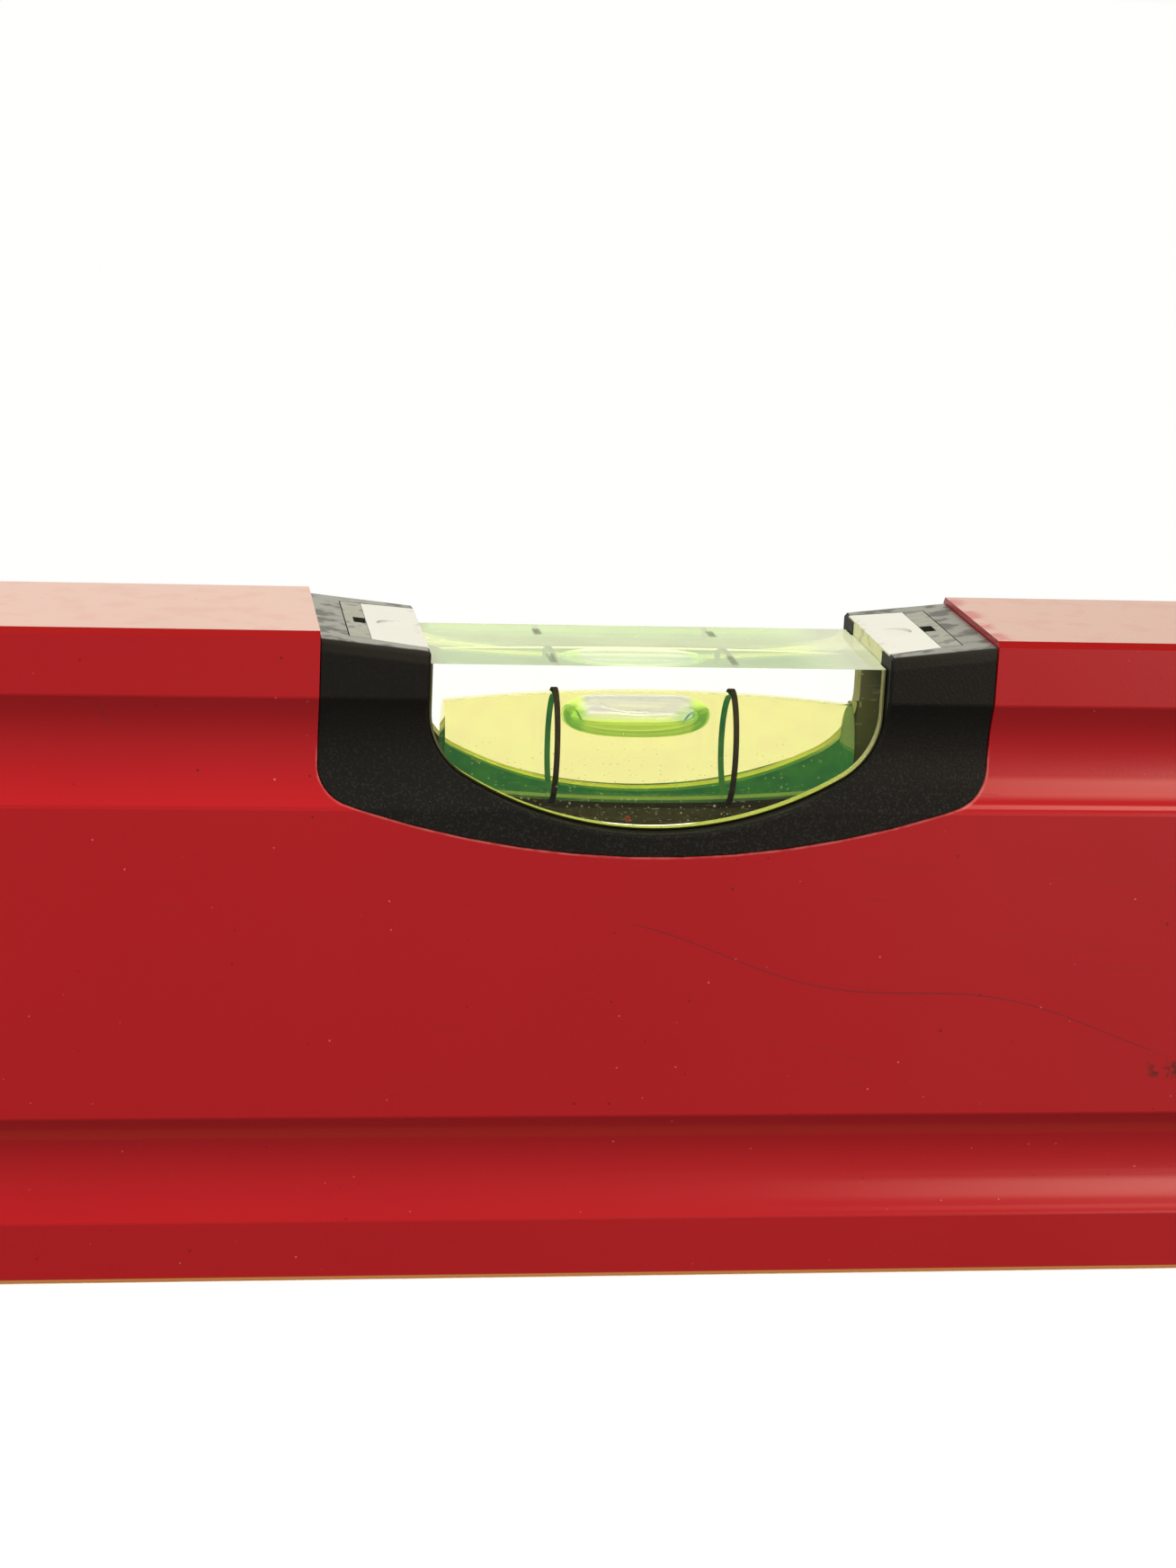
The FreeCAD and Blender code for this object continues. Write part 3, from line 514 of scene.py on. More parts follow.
# Locking wedges
# Two small black mouldings pushed down outside the pads, each with a screwdriver notch.
# Their tops are scuffed, with patches rubbed to a pale grey.
def make_wedge_plastic():
    material, tree, output = start_material("Scuffed black wedge")
    place = add(tree, "TexCoord").outputs["Object"]
    scuffs = add(tree, "TexNoise", Vector=place, Scale=650.0, Detail=6.0)
    rubbed = ramp(tree, scuffs.outputs[0], 0.38, 0.48, 0.16, 0.56)
    black = tone(tree, scuffs.outputs[0], (0.012, 0.012, 0.01, 1), (0.04, 0.04, 0.032, 1))
    lines = use(tree, scratch_group, Vector=place, Spacing_mm=1.1, Width=0.012, Share=0.5)
    black = tone(tree, calc(tree, "MULTIPLY", lines.outputs[0], 0.6), black, (0.02, 0.018, 0.014, 1))
    rough = ramp(tree, scuffs.outputs[0], 0.35, 0.7, 0.32, 0.55)
    bump = add(tree, "Bump", Strength=0.3, Distance=0.00005, Height=scuffs.outputs[0])
    plastic = add(tree, "BsdfPrincipled", Base_Color=black, Roughness=rough, Normal=bump.outputs[0], IOR=1.4)
    gloss = add_top_gloss(tree, plastic.outputs[0], rubbed, (1.0, 0.975, 0.76, 1), roughness=0.3)
    tree.links.new(gloss, output.inputs["Surface"])
    return material


wedge_plastic = make_wedge_plastic()
for side in ("left", "right"):
    wear("vial_wedge_" + side, wedge_plastic)


# Clear block
# One block of clear acrylic, machined all over and polished where it shows. Its lit faces
# fill the two windows, and the walls of its bosses are opaque and painted with the vial's yellow-green light.
def select_only(piece):
    bpy.ops.object.select_all(action="DESELECT")
    piece.select_set(True)
    bpy.context.view_layer.objects.active = piece


def pick(piece, kind, wanted):
    """Selects in edit mode the vertices, edges or faces that a test accepts."""
    bpy.ops.mesh.select_mode(type=kind)
    bpy.ops.mesh.select_all(action="DESELECT")
    bpy.ops.object.mode_set(mode="OBJECT")
    groups = {"VERT": piece.data.vertices, "EDGE": piece.data.edges, "FACE": piece.data.polygons}
    for element in groups[kind]:
        element.select = wanted(element)
    bpy.ops.object.mode_set(mode="EDIT")


def close_bore(node, name, in_bore):
    """Copy of a clear block as one solid, without the faces that line its bore."""
    piece = bpy.data.objects.new(name, nodes[node].data.copy())
    bpy.context.scene.collection.objects.link(piece)
    select_only(piece)
    bpy.ops.mesh.customdata_custom_splitnormals_clear()
    bpy.ops.object.mode_set(mode="EDIT")
    bpy.ops.mesh.select_all(action="SELECT")
    bpy.ops.mesh.remove_doubles(threshold=0.002 * mm)
    pick(piece, "FACE", in_bore)
    bpy.ops.mesh.delete(type="FACE")
    bpy.ops.mesh.select_mode(type="EDGE")
    bpy.ops.mesh.select_all(action="DESELECT")
    bpy.ops.mesh.select_non_manifold(extend=False, use_wire=False, use_multi_face=False,
                                     use_non_contiguous=False, use_verts=False)
    bpy.ops.mesh.edge_face_add()
    bpy.ops.mesh.select_all(action="SELECT")
    bpy.ops.mesh.normals_make_consistent(inside=False)
    bpy.ops.object.mode_set(mode="OBJECT")
    bpy.ops.object.shade_smooth_by_angle(angle=math.radians(25))
    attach(piece, "level")
    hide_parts(node)
    return piece


def shadow_clear(tree, glass, output):
    """Lets lamp light straight through, so that what lies inside the glass is lit."""
    path = add(tree, "LightPath")
    through = add(tree, "BsdfTransparent", Color=(0.93, 0.96, 0.88, 1))
    mix = add(tree, "MixShader", Fac=path.outputs["Is Shadow Ray"])
    tree.links.new(glass, mix.inputs[1])
    tree.links.new(through.outputs[0], mix.inputs[2])
    tree.links.new(mix.outputs[0], output.inputs["Surface"])


def make_clear_face():
    """Polished face: clear, with a few hairlines, crumbs near its foot and a dot of red paint."""
    material, tree, output = start_material("Polished acrylic")
    place, x, y, z = object_place(tree)
    lines = use(tree, scratch_group, Vector=place, Spacing_mm=1.3, Width=0.002, Share=0.36)
    rough = calc(tree, "MULTIPLY", lines.outputs[0], 0.15)
    glass = add(tree, "BsdfGlass", Color=(1.03, 1.035, 1.02, 1), Roughness=rough, IOR=1.49)
    crumbs = use(tree, speck_group, Vector=place, Spacing_mm=0.6, Size_mm=0.1, Share=0.38)
    paint_x, paint_z, paint_radius = -2.3, 43.15, 0.3
    across = calc(tree, "POWER", calc(tree, "SUBTRACT", x, paint_x), 2.0)
    up = calc(tree, "POWER", calc(tree, "SUBTRACT", z, paint_z), 2.0)
    away = calc(tree, "SQRT", calc(tree, "ADD", across, up))
    paint = calc(tree, "MULTIPLY", ramp(tree, away, paint_radius, 0.2), calc(tree, "LESS_THAN", y, 0.0))
    shade = tone(tree, paint, (0.5, 0.52, 0.24, 1), (0.32, 0.03, 0.015, 1))
    cover = calc(tree, "MULTIPLY", crumbs.outputs[0], ramp(tree, z, 48.5, 45.5, 0.02, 0.42))
    both = add(tree, "MixShader", Fac=calc(tree, "MAXIMUM", cover, calc(tree, "MULTIPLY", paint, 0.7)))
    tree.links.new(glass.outputs[0], both.inputs[1])
    tree.links.new(add(tree, "BsdfDiffuse", Color=shade).outputs[0], both.inputs[2])
    shadow_clear(tree, both.outputs[0], output)
    return material


def make_top_face():
    """Upper face: polished but hazed by wiping; the haze is painted pale green with a faint painted glow for
    the vial's light, and dark marks are painted where the rings show through.
    """
    material, tree, output = start_material("Hazed acrylic")
    place, x, y, _ = object_place(tree)
    cloud = add(tree, "TexNoise", Vector=place, Scale=120.0, Detail=4.0)
    lines = use(tree, scratch_group, Vector=place, Spacing_mm=1.6, Width=0.006, Share=0.5)
    haze = ramp(tree, cloud.outputs[0], 0.3, 0.7, 0.24, 0.3)
    haze = calc(tree, "ADD", haze, ramp(tree, y, -1.5, 0.5, -0.1, 0.02))
    # Dark marks painted where the reading rings show through the face, ahead of and behind the bore.
    rings_middle, half_ring_spacing = -1.2, 8.1
    off_middle = calc(tree, "ABSOLUTE", calc(tree, "SUBTRACT", x, rings_middle))
    off_ring = calc(tree, "ABSOLUTE", calc(tree, "SUBTRACT", off_middle, half_ring_spacing))
    front_marks, back_marks = (-7.0, -4.4, 1.2), (4.8, 6.2, 1.2)
    painted_ring_marks = calc(tree, "MAXIMUM", between(tree, y, *front_marks), between(tree, y, *back_marks))
    painted_ring_marks = calc(tree, "MULTIPLY", painted_ring_marks, ramp(tree, off_ring, 0.55, 0.2))
    right = ramp(tree, x, 12.0, 17.0)
    haze = calc(tree, "ADD", haze, calc(tree, "MULTIPLY", right, 0.25))
    haze = calc(tree, "MULTIPLY_ADD", lines.outputs[0], 0.1, haze)
    haze = calc(tree, "MULTIPLY_ADD", painted_ring_marks, 0.2, haze)
    glass = add(tree, "BsdfGlass", Color=(0.97, 1.0, 0.93, 1), Roughness=0.03, IOR=1.49)
    # The haze film is painted pale green for the vial's light in it, greyer towards the right.
    pale = tone(tree, cloud.outputs[0], (0.8, 0.92, 0.5, 1), (0.86, 0.96, 0.6, 1))
    pale = tone(tree, right, pale, (0.62, 0.64, 0.5, 1))
    film = add(tree, "BsdfDiffuse", Color=tone(tree, painted_ring_marks, pale, (0.06, 0.08, 0.03, 1)))
    mix = add(tree, "MixShader", Fac=haze)
    tree.links.new(glass.outputs[0], mix.inputs[1])
    tree.links.new(film.outputs[0], mix.inputs[2])
    # Painted glow: a faint emission for the vial's light gathered in the face.
    glow = add(tree, "Emission", Color=(0.11, 0.125, 0.06, 1), Strength=1.0)
    both = add(tree, "AddShader")
    tree.links.new(mix.outputs[0], both.inputs[0])
    tree.links.new(glow.outputs[0], both.inputs[1])
    shadow_clear(tree, both.outputs[0], output)
    return material


def make_boss_wall():
    """Wall of a boss: opaque, painted yellow-green for the vial's light and paler higher up, dark green on
    the back boss's inner part, with a thin white highlight line painted near the middle of the front boss.
    """
    material, tree, output = start_material("Glowing boss wall")
    place, x, y, z = object_place(tree)
    cloud = add(tree, "TexNoise", Vector=place, Scale=260.0, Detail=4.0)
    # Painted light: the vial's yellow-green, paler higher up.
    olive = tone(tree, cloud.outputs[0], (0.21, 0.235, 0.035, 1), (0.29, 0.3, 0.075, 1))
    inner = calc(tree, "MULTIPLY", ramp(tree, y, 7.5, 7.3), calc(tree, "GREATER_THAN", y, 0.0))
    olive = tone(tree, inner, olive, (0.03, 0.06, 0.01, 1))
    olive = tone(tree, ramp(tree, z, 45.5, 50.0), olive, (0.25, 0.24, 0.11, 1))
    dust = use(tree, speck_group, Vector=place, Spacing_mm=0.9, Size_mm=0.1, Share=0.25)
    olive = tone(tree, calc(tree, "MULTIPLY", dust.outputs[0], 0.5), olive, (0.6, 0.55, 0.35, 1))
    # Painted highlight: a thin white line near the middle of the front boss.
    highlight_line_x, highlight_line_y = (-3.4, 3.2, 1.3), (-6.3, 0.0, 0.2)
    highlight_line = calc(tree, "MULTIPLY", between(tree, x, *highlight_line_x), between(tree, y, *highlight_line_y))
    olive = tone(tree, highlight_line, olive, (0.9, 0.9, 0.78, 1))
    body = add(tree, "BsdfDiffuse", Color=olive, Roughness=calc(tree, "MULTIPLY", cloud.outputs[0], 0.5))
    tree.links.new(body.outputs[0], output.inputs["Surface"])
    return material


def make_hidden_face():
    """Faces that lie against the black holder: opaque and dark like it, with a painted olive tint for the
    vial's light, painted lighter at the block's ends higher up, and dust and hairlines over them.
    """
    material, tree, output = start_material("Acrylic against black")
    place, x, _, z = object_place(tree)
    cloud = add(tree, "TexNoise", Vector=place, Scale=330.0, Detail=5.0)
    # Painted olive tint for the vial's light over the dark.
    olive = tone(tree, cloud.outputs[0], (0.007, 0.006, 0.002, 1), (0.024, 0.021, 0.008, 1))
    # Painted light: lighter at the block's ends, more so higher up.
    side = ramp(tree, calc(tree, "ABSOLUTE", x), 19.8, 20.3)
    side = calc(tree, "MULTIPLY", side, ramp(tree, z, 45.0, 51.0, 0.35, 0.75))
    olive = tone(tree, side, olive, (0.1, 0.102, 0.035, 1))
    dust = use(tree, speck_group, Vector=place, Spacing_mm=0.7, Size_mm=0.1, Share=0.36)
    olive = tone(tree, calc(tree, "MULTIPLY", dust.outputs[0], 0.5), olive, (0.4, 0.38, 0.2, 1))
    lines = use(tree, scratch_group, Vector=place, Spacing_mm=0.9, Width=0.012, Share=0.42)
    olive = tone(tree, calc(tree, "MULTIPLY", lines.outputs[0], 0.35), olive, (0.25, 0.25, 0.16, 1))
    body = add(tree, "BsdfDiffuse", Color=olive, Roughness=calc(tree, "MULTIPLY", cloud.outputs[0], 0.5))
    tree.links.new(body.outputs[0], output.inputs["Surface"])
    return material


clear_face = make_clear_face()
top_face = make_top_face()
boss_wall = make_boss_wall()
hidden_face = make_hidden_face()
block_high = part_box("vial_block")[1]
liquid_low, liquid_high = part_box("vial_liquid")
plug_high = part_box("vial_plug")[1]
bore_axis = (liquid_low.z + liquid_high.z) / 2
bore_radius = (liquid_high.z - liquid_low.z) / 2
ring_reach = 0.35 * mm
sliver = 0.01 * mm
body_depth = 6.0 * mm


def lines_middle_bore(face):
    """True for a face that lines the middle bore, its grooves or its plug hole."""
    middle = face.center
    off_axis = math.hypot(middle.y, middle.z - bore_axis)
    return off_axis < bore_radius + ring_reach and liquid_low.x - sliver < middle.x < plug_high.x - sliver


def dress_block(piece, high, upright):
    """Clear lit faces, a hazed upper face, boss walls painted with the vial's glow and dark hidden faces."""
    finishes = (clear_face, top_face, boss_wall, hidden_face)
    piece.data.materials.clear()
    for material in finishes:
        piece.data.materials.append(material)
    for face in piece.data.polygons:
        middle = face.center
        if abs(middle.y) > high.y - sliver:
            finish = clear_face
        elif face.normal.z > 0.9 and middle.z > high.z - sliver and not upright:
            finish = top_face
        elif abs(middle.y) > body_depth + sliver:
            finish = boss_wall
        else:
            finish = hidden_face
        face.material_index = finishes.index(finish)


vial_glass = close_bore("vial_block", "vial_glass", lines_middle_bore)
dress_block(vial_glass, block_high, upright=False)


# Liquid
# Yellow-green spirit that fills the ground bore. It bends light a little less than the
# acrylic does and tints what lies behind it. A faint green glow is painted on it, brightest
# in a line along its foot.
def make_liquid():
    material, tree, output = start_material("Yellow-green spirit")
    place, _, _, z = object_place(tree)
    cloud = add(tree, "TexNoise", Vector=place, Scale=500.0, Detail=4.0)
    mottle = ramp(tree, cloud.outputs[0], 0.35, 0.65)
    # Painted glow: a faint mottled green emission, brightest in a line along the floor of the bore.
    glow = tone(tree, mottle, (0.002, 0.046, 0.014, 1), (0.009, 0.07, 0.013, 1))
    floor_low, floor_high = 42.0, 46.0
    above, below = calc(tree, "GREATER_THAN", z, floor_low), calc(tree, "LESS_THAN", z, floor_high)
    floor = calc(tree, "MULTIPLY", above, below)
    floor = calc(tree, "MULTIPLY", floor, calc(tree, "GREATER_THAN", facing(tree, "Z"), 0.9))
    floor = calc(tree, "MULTIPLY", floor, calc(tree, "GREATER_THAN", facing(tree, "Y"), -0.1))
    glow = tone(tree, floor, glow, (0.12, 0.2, 0.03, 1))
    glass = add(tree, "BsdfGlass", Color=(0.943, 0.857, 0.56, 1), Roughness=0.0, IOR=0.952)
    light = add(tree, "Emission", Color=glow, Strength=1.0)
    both = add(tree, "AddShader")
    tree.links.new(glass.outputs[0], both.inputs[0])
    tree.links.new(light.outputs[0], both.inputs[1])
    shadow_clear(tree, both.outputs[0], output)
    return material


def turn_barrel(name, half_length, radius, bow, steps):
    """Barrel about the X axis: a disc, drawn out station by station along the bowed wall."""
    def wall(x):
        return radius - bow + math.sqrt(bow ** 2 - x ** 2)

    stations = [half_length * (2 * step / steps - 1) for step in range(steps + 1)]
    bpy.ops.mesh.primitive_circle_add(vertices=128, radius=wall(half_length), fill_type="NGON",
                                      location=(stations[0], 0, 0), rotation=(0, math.pi / 2, 0))
    piece = bpy.context.active_object
    piece.name = name
    bpy.ops.object.transform_apply(location=True, rotation=True, scale=True)
    bpy.ops.object.mode_set(mode="EDIT")
    for last, station in zip(stations, stations[1:]):
        bpy.ops.mesh.extrude_region_move(TRANSFORM_OT_translate={"value": (station - last, 0, 0)})
        grow = wall(station) / wall(last)
        bpy.ops.transform.resize(value=(1, grow, grow), center_override=(station, 0, 0))
    bpy.ops.mesh.select_all(action="SELECT")
    bpy.ops.mesh.normals_make_consistent(inside=False)
    bpy.ops.object.mode_set(mode="OBJECT")
    bpy.ops.object.shade_smooth_by_angle(angle=math.radians(30))
    return piece


def settle(piece, place, turn=0.0):
    """Turns a piece about the Y axis, moves it to its place and keeps that in its mesh."""
    select_only(piece)
    piece.rotation_euler = (0, turn, 0)
    piece.location = place
    bpy.ops.object.transform_apply(location=True, rotation=True, scale=True)


def finish_piece(piece, material, body, node):
    piece.data.materials.clear()
    piece.data.materials.append(material)
    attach(piece, body)
    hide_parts(node)


spirit = make_liquid()
hinge_height = [joint for joint in frame["joints"] if joint["name"] == "bubble_run"][0]["pos_m"][2]
bore_bow = bore_axis + bore_radius - hinge_height
wall_gap = 0.03 * mm
half_length = (liquid_high.x - liquid_low.x) / 2
vial_spirit = turn_barrel("vial_spirit", half_length, bore_radius - wall_gap, bore_bow, steps=20)
settle(vial_spirit, (0, 0, bore_axis))
finish_piece(vial_spirit, spirit, "level", "vial_liquid")


# Air bubble
# Air under the crown of the bore. Its roof follows the bore, its belly is round, and its
# rim is drawn smooth by the liquid.
# Its glow, its green rim and the grey streaks across its middle are painted.
def make_air():
    material, tree, output = start_material("Air in spirit")
    place, x, _, z = object_place(tree)
    cloud = add(tree, "TexNoise", Vector=place, Scale=90.0, Detail=1.0)
    low = between(tree, z, 48.0, 51.05, 0.6)
    bubble_centre = -1.1
    end = ramp(tree, calc(tree, "ABSOLUTE", calc(tree, "SUBTRACT", x, bubble_centre)), 4.6, 5.4)
    end = calc(tree, "MULTIPLY", end, calc(tree, "GREATER_THAN", z, 47.0))
    slant = add(tree, "LayerWeight", Blend=0.5).outputs["Facing"]
    band = calc(tree, "MULTIPLY", ramp(tree, slant, 0.12, 0.3), ramp(tree, slant, 0.85, 0.7, 0.4, 1.0))
    coloured = calc(tree, "MAXIMUM", low, end)
    rim = calc(tree, "MULTIPLY", coloured, band)
    # Grey streaks painted across the middle, where lines behind the bubble show through it.
    drawn = add(tree, "Mapping", Vector=place)
    drawn.inputs["Scale"].default_value = (0.06, 1.0, 1.0)
    streak_noise = add(tree, "TexNoise", Vector=drawn.outputs[0], Scale=1500.0, Detail=1.0)
    streak = between(tree, z, 52.2, 52.9, 0.3)
    streak = calc(tree, "MULTIPLY", streak, ramp(tree, streak_noise.outputs[0], 0.4, 0.55, 0.35, 1.0))
    streak = calc(tree, "MULTIPLY", streak, calc(tree, "SUBTRACT", 1.0, end))
    # Painted glow: blue at the top, warm lower down, green at the ends and lime along the rim.
    glow = tone(tree, low, (0.04, 0.06, 0.36, 1), (0.2, 0.15, 0.07, 1))
    glow = tone(tree, end, glow, (0.06, 0.1, 0.045, 1))
    glow = tone(tree, rim, glow, tone(tree, end, (0.3, 0.4, 0.08, 1), (0.15, 0.28, 0.05, 1)))
    light = add(tree, "Emission", Color=glow, Strength=1.0)
    tint = tone(tree, streak, tone(tree, cloud.outputs[0], grey(0.97), grey(1.0)), (0.84, 0.82, 0.75, 1))
    # The glass is tinted green low down and at the ends, with the painted glow.
    tint = tone(tree, coloured, tint, (0.6, 0.75, 0.38, 1))
    glass = add(tree, "BsdfGlass", Color=tint, Roughness=0.0, IOR=0.69)
    clear = add(tree, "BsdfTransparent", Color=tone(tree, streak, grey(1.0), (0.84, 0.82, 0.75, 1)))
    crown = add(tree, "MixShader", Fac=ramp(tree, z, 52.0, 52.6, 0.0, 0.65))
    tree.links.new(glass.outputs[0], crown.inputs[1])
    tree.links.new(clear.outputs[0], crown.inputs[2])
    both = add(tree, "AddShader")
    tree.links.new(crown.outputs[0], both.inputs[0])
    tree.links.new(light.outputs[0], both.inputs[1])
    shadow_clear(tree, both.outputs[0], output)
    return material


def apply_modifier(piece, kind, **settings):
    modifier = piece.modifiers.new(kind.title(), kind)
    for label, value in settings.items():
        setattr(modifier, label, value)
    select_only(piece)
    bpy.ops.object.modifier_apply(modifier=modifier.name)


def level_edges(piece):
    """Selects in edit mode the edges that lie level, which are those of both discs."""
    pick(piece, "EDGE", lambda edge: abs(piece.data.vertices[edge.vertices[0]].co.z
                                         - piece.data.vertices[edge.vertices[1]].co.z) < sliver)


def blow_bubble(name, length, width, depth, roof_radius):
    """Oval cushion with a full round rim, cut by the round roof; its top is at nought."""
    bpy.ops.mesh.primitive_cylinder_add(vertices=96, radius=width / 2, depth=depth,
                                        location=(0, 0, -depth / 2))
    cushion = bpy.context.active_object
    cushion.name = name
    bpy.ops.object.transform_apply(location=True, rotation=True, scale=True)
    bpy.ops.object.mode_set(mode="EDIT")
    level_edges(cushion)
    bpy.ops.mesh.bevel(offset=0.48 * depth, segments=10, profile=0.5)
    bpy.ops.mesh.select_all(action="SELECT")
    bpy.ops.transform.resize(value=(length / width, 1, 1), center_override=(0, 0, 0))
    bpy.ops.object.mode_set(mode="OBJECT")
    bpy.ops.mesh.primitive_cylinder_add(vertices=128, radius=roof_radius, depth=3 * length,
                                        location=(0, 0, -roof_radius), rotation=(0, math.pi / 2, 0))
    roof = bpy.context.active_object
    bpy.ops.object.transform_apply(location=True, rotation=True, scale=True)
    apply_modifier(cushion, "BOOLEAN", object=roof, operation="INTERSECT", solver="EXACT")
    bpy.data.objects.remove(roof)
    apply_modifier(cushion, "REMESH", mode="VOXEL", voxel_size=0.12 * mm, adaptivity=0.0)
    apply_modifier(cushion, "SMOOTH", factor=0.5, iterations=34)
    bpy.ops.object.shade_smooth()
    return cushion


air = make_air()
bubble_low, bubble_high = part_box("vial_bubble")
bubble_middle = (bubble_low + bubble_high) / 2
bubble_depth = bubble_high.z - bubble_low.z
film = 0.15 * mm
vial_air = blow_bubble("vial_air", bubble_high.x - bubble_low.x, bubble_high.y - bubble_low.y,
                       bubble_depth, bore_radius - film)
settle(vial_air, (bubble_middle.x, 0, bubble_high.z))
finish_piece(vial_air, air, "running_bubble", "vial_bubble")


# Reading rings and plug
# The rings are dark bands pressed into the wall of the bore, and the plug is a clear
# acrylic stopper glued into the bore's right end.
def make_ring_ink():
    material, tree, output = start_material("Ring ink")
    place = add(tree, "TexCoord").outputs["Object"]
    cloud = add(tree, "TexNoise", Vector=place, Scale=1200.0, Detail=4.0)
    ink = tone(tree, cloud.outputs[0], (0.006, 0.005, 0.0015, 1), (0.024, 0.018, 0.006, 1))
    specks = use(tree, speck_group, Vector=place, Spacing_mm=0.6, Size_mm=0.1, Share=0.2)
    ink = tone(tree, calc(tree, "MULTIPLY", specks.outputs[0], 0.2), ink, (0.3, 0.27, 0.16, 1))
    body = add(tree, "BsdfDiffuse", Color=ink, Roughness=calc(tree, "MULTIPLY", cloud.outputs[0], 0.6))
    tree.links.new(body.outputs[0], output.inputs["Surface"])
    return material


def make_plug():
    material, tree, output = start_material("Glued plug")
    place = add(tree, "TexCoord").outputs["Object"]
    cloud = add(tree, "TexNoise", Vector=place, Scale=300.0, Detail=3.0)
    tint = tone(tree, cloud.outputs[0], (0.86, 0.9, 0.66, 1), (0.94, 0.96, 0.8, 1))
    rough = calc(tree, "MULTIPLY", cloud.outputs[0], 0.1)
    glass = add(tree, "BsdfGlass", Color=tint, Roughness=rough, IOR=1.02)
    shadow_clear(tree, glass.outputs[0], output)
    return material


ring_ink = make_ring_ink()
glued_plug = make_plug()
for node in ("vial_ring_left", "vial_ring_right", "plumb_ring_lower", "plumb_ring_upper"):
    wear(node, ring_ink)
for node in ("vial_plug", "plumb_plug"):
    wear(node, glued_plug)


# Upright vial
# The same clear block, spirit and air, stood on end between two round black mouldings
# that meet inside the round hole of the profile.
for node in ("plumb_holder_front", "plumb_holder_back"):
    wear(node, black_moulding)
stand_low, stand_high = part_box("plumb_block")
column_low, column_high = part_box("plumb_liquid")
column_middle = (column_low + column_high) / 2
column_radius = (column_high.x - column_low.x) / 2


def lines_upright_bore(face):
    """True for a face that lines the upright bore, its grooves or its plug hole."""
    middle = face.center
    off_axis = math.hypot(middle.x - column_middle.x, middle.y)
    within = stand_low.z + sliver < middle.z < stand_high.z - sliver
    return off_axis < column_radius + ring_reach and within


plumb_glass = close_bore("plumb_block", "plumb_glass", lines_upright_bore)
dress_block(plumb_glass, stand_high, upright=True)
column_half = (column_high.z - column_low.z) / 2
plumb_spirit = turn_barrel("plumb_spirit", column_half, column_radius - wall_gap, bore_bow, steps=12)
settle(plumb_spirit, column_middle, math.pi / 2)
finish_piece(plumb_spirit, spirit, "level", "plumb_liquid")


def draw_slug(name, low, high, rim):
    """Short column of air: a disc drawn up, with both rims rounded."""
    radius = (high.x - low.x) / 2
    middle = (low + high) / 2
    bpy.ops.mesh.primitive_cylinder_add(vertices=96, radius=radius, depth=high.z - low.z, location=middle)
    piece = bpy.context.active_object
    piece.name = name
    bpy.ops.object.transform_apply(location=True, rotation=True, scale=True)
    bpy.ops.object.mode_set(mode="EDIT")
    level_edges(piece)
    bpy.ops.mesh.bevel(offset=rim, segments=8, profile=0.5)
    bpy.ops.object.mode_set(mode="OBJECT")
    bpy.ops.object.shade_smooth_by_angle(angle=math.radians(40))
    return piece


slug_low, slug_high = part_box("plumb_bubble")
plumb_air = draw_slug("plumb_air", slug_low, slug_high, rim=1.4 * mm)
finish_piece(plumb_air, air, "upright_bubble", "plumb_bubble")


# Magnets
# Nickel-plated disc magnets bonded in turned steel cups, pressed into the milled face.
# Both are brushed by rubbing on steel, which leaves them covered in fine hairlines.
def make_worn_metal(name, low, high, grain_mm):
    material, tree, output = start_material(name)
    place = add(tree, "TexCoord").outputs["Object"]
    rings = add(tree, "TexNoise", Vector=place, Scale=1000.0 / grain_mm, Detail=4.0)
    metal = tone(tree, rings.outputs[0], low, high)
    lines = use(tree, scratch_group, Vector=place, Spacing_mm=0.8, Width=0.012, Share=0.55)
    metal = tone(tree, calc(tree, "MULTIPLY", lines.outputs[0], 0.5), metal, (0.2, 0.19, 0.18, 1))
    rough = calc(tree, "MULTIPLY_ADD", rings.outputs[0], 0.25, 0.2)
    bump = add(tree, "Bump", Strength=0.15, Distance=0.00003, Height=rings.outputs[0])
    surface = add(tree, "BsdfPrincipled", Base_Color=metal, Metallic=1.0, Roughness=rough,
                  Normal=bump.outputs[0])
    tree.links.new(surface.outputs[0], output.inputs["Surface"])
    return material


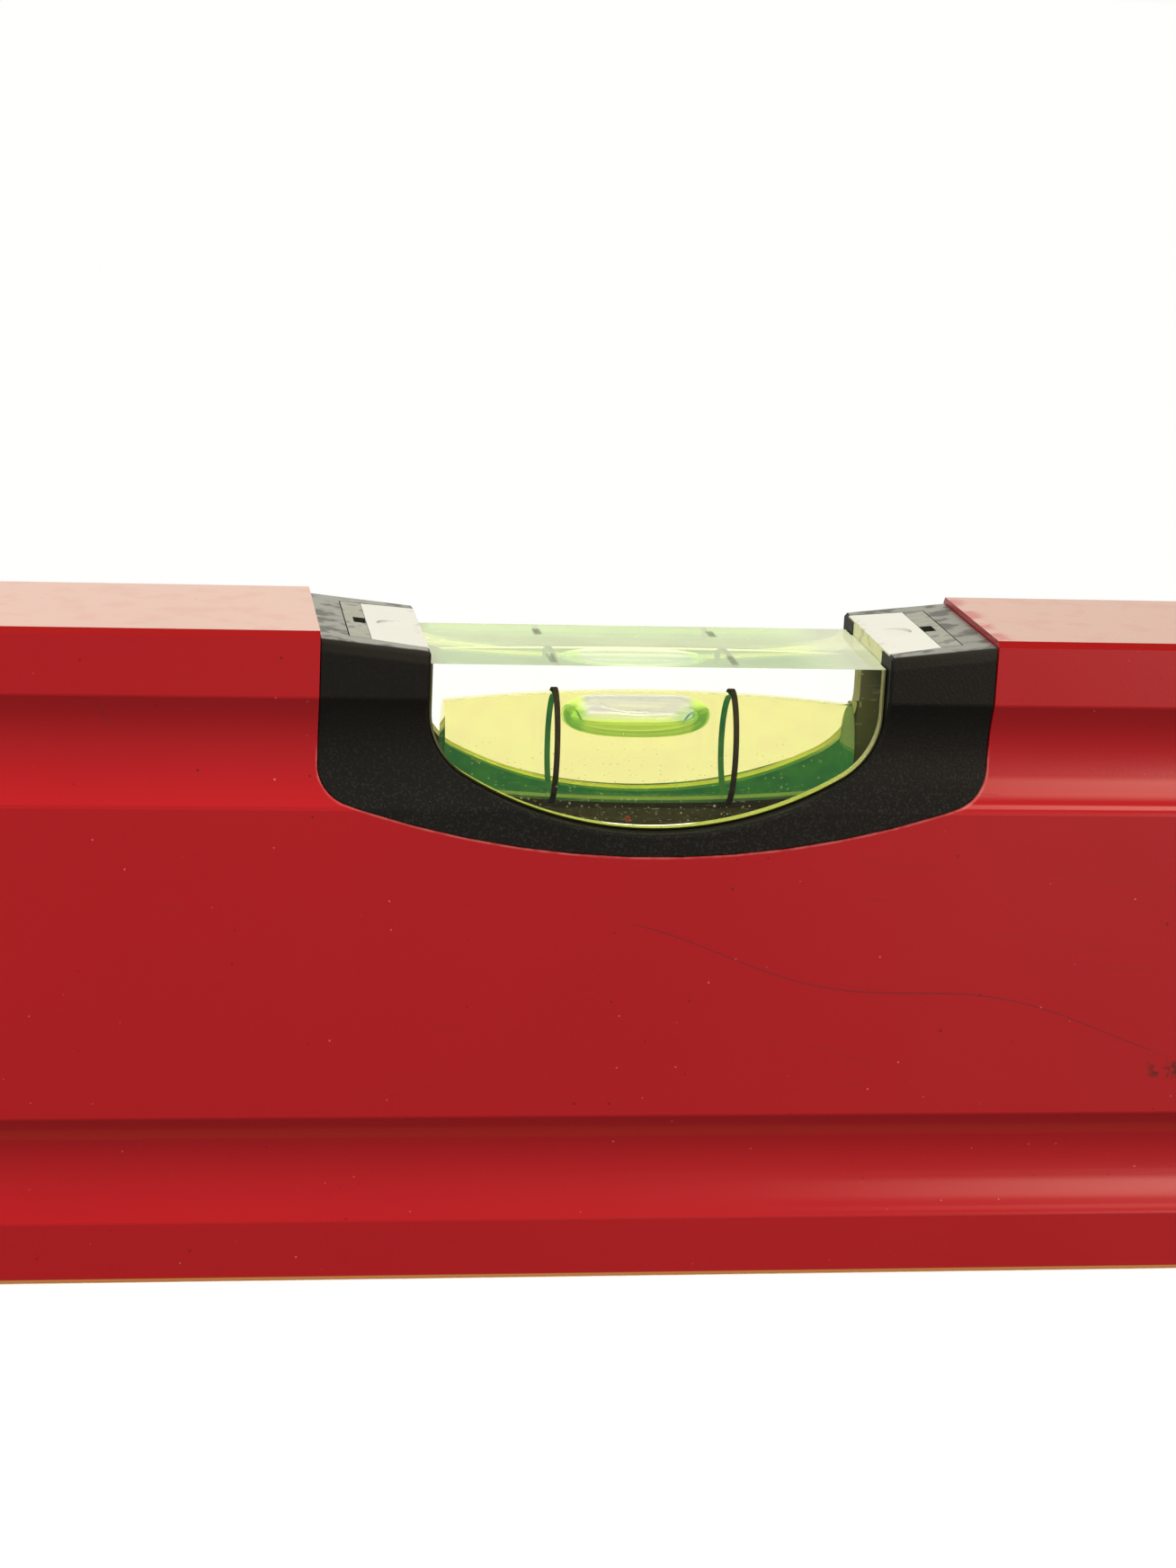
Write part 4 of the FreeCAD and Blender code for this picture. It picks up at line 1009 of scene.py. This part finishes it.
nickel = make_worn_metal("Rubbed nickel", (0.56, 0.54, 0.5, 1), (0.68, 0.66, 0.6, 1), grain_mm=0.5)
steel = make_worn_metal("Turned steel", (0.36, 0.36, 0.35, 1), (0.5, 0.49, 0.47, 1), grain_mm=0.3)
for number in range(1, 5):
    wear("magnet_" + str(number), nickel)
    wear("magnet_cup_" + str(number), steel)


# End caps
# Black moulded caps whose ribbed plugs are pushed into the profile, each faced with a
# rubber bumper that takes the knocks. Both are dusty and carry a few hairlines.
def make_cap_finish(name, low, high, grain_mm, roughness):
    material, tree, output = start_material(name)
    place = add(tree, "TexCoord").outputs["Object"]
    cloud = add(tree, "TexNoise", Vector=place, Scale=90.0, Detail=4.0)
    grain = use(tree, grain_group, Vector=place, Grain_mm=grain_mm, Peaks=0.6)
    black = tone(tree, cloud.outputs[0], low, high)
    pale = tuple(3 * value for value in high[:3]) + (1,)
    black = tone(tree, calc(tree, "MULTIPLY", grain.outputs["Peaks"], 0.3), black, pale)
    dust = use(tree, speck_group, Vector=place, Spacing_mm=3.0, Size_mm=0.2, Share=0.35)
    black = tone(tree, calc(tree, "MULTIPLY", dust.outputs[0], 0.4), black, (0.3, 0.29, 0.26, 1))
    lines = use(tree, scratch_group, Vector=place, Spacing_mm=4.0, Width=0.004, Share=0.5)
    black = tone(tree, calc(tree, "MULTIPLY", lines.outputs[0], 0.4), black, (0.09, 0.09, 0.085, 1))
    rough = calc(tree, "MULTIPLY_ADD", cloud.outputs[0], 0.15, roughness)
    bump = add(tree, "Bump", Strength=0.3, Distance=0.00006, Height=grain.outputs["Height"])
    body = add(tree, "BsdfPrincipled", Base_Color=black, Roughness=rough, Normal=bump.outputs[0])
    tree.links.new(body.outputs[0], output.inputs["Surface"])
    return material


cap_plastic = make_cap_finish("Cap moulding", (0.009, 0.009, 0.009, 1), (0.015, 0.015, 0.014, 1),
                              grain_mm=0.2, roughness=0.4)
bumper_rubber = make_cap_finish("Bumper rubber", (0.018, 0.018, 0.018, 1), (0.03, 0.03, 0.029, 1),
                                grain_mm=0.12, roughness=0.7)
for side in ("left", "right"):
    wear("end_cap_" + side, cap_plastic)
    wear("end_bumper_" + side, bumper_rubber)
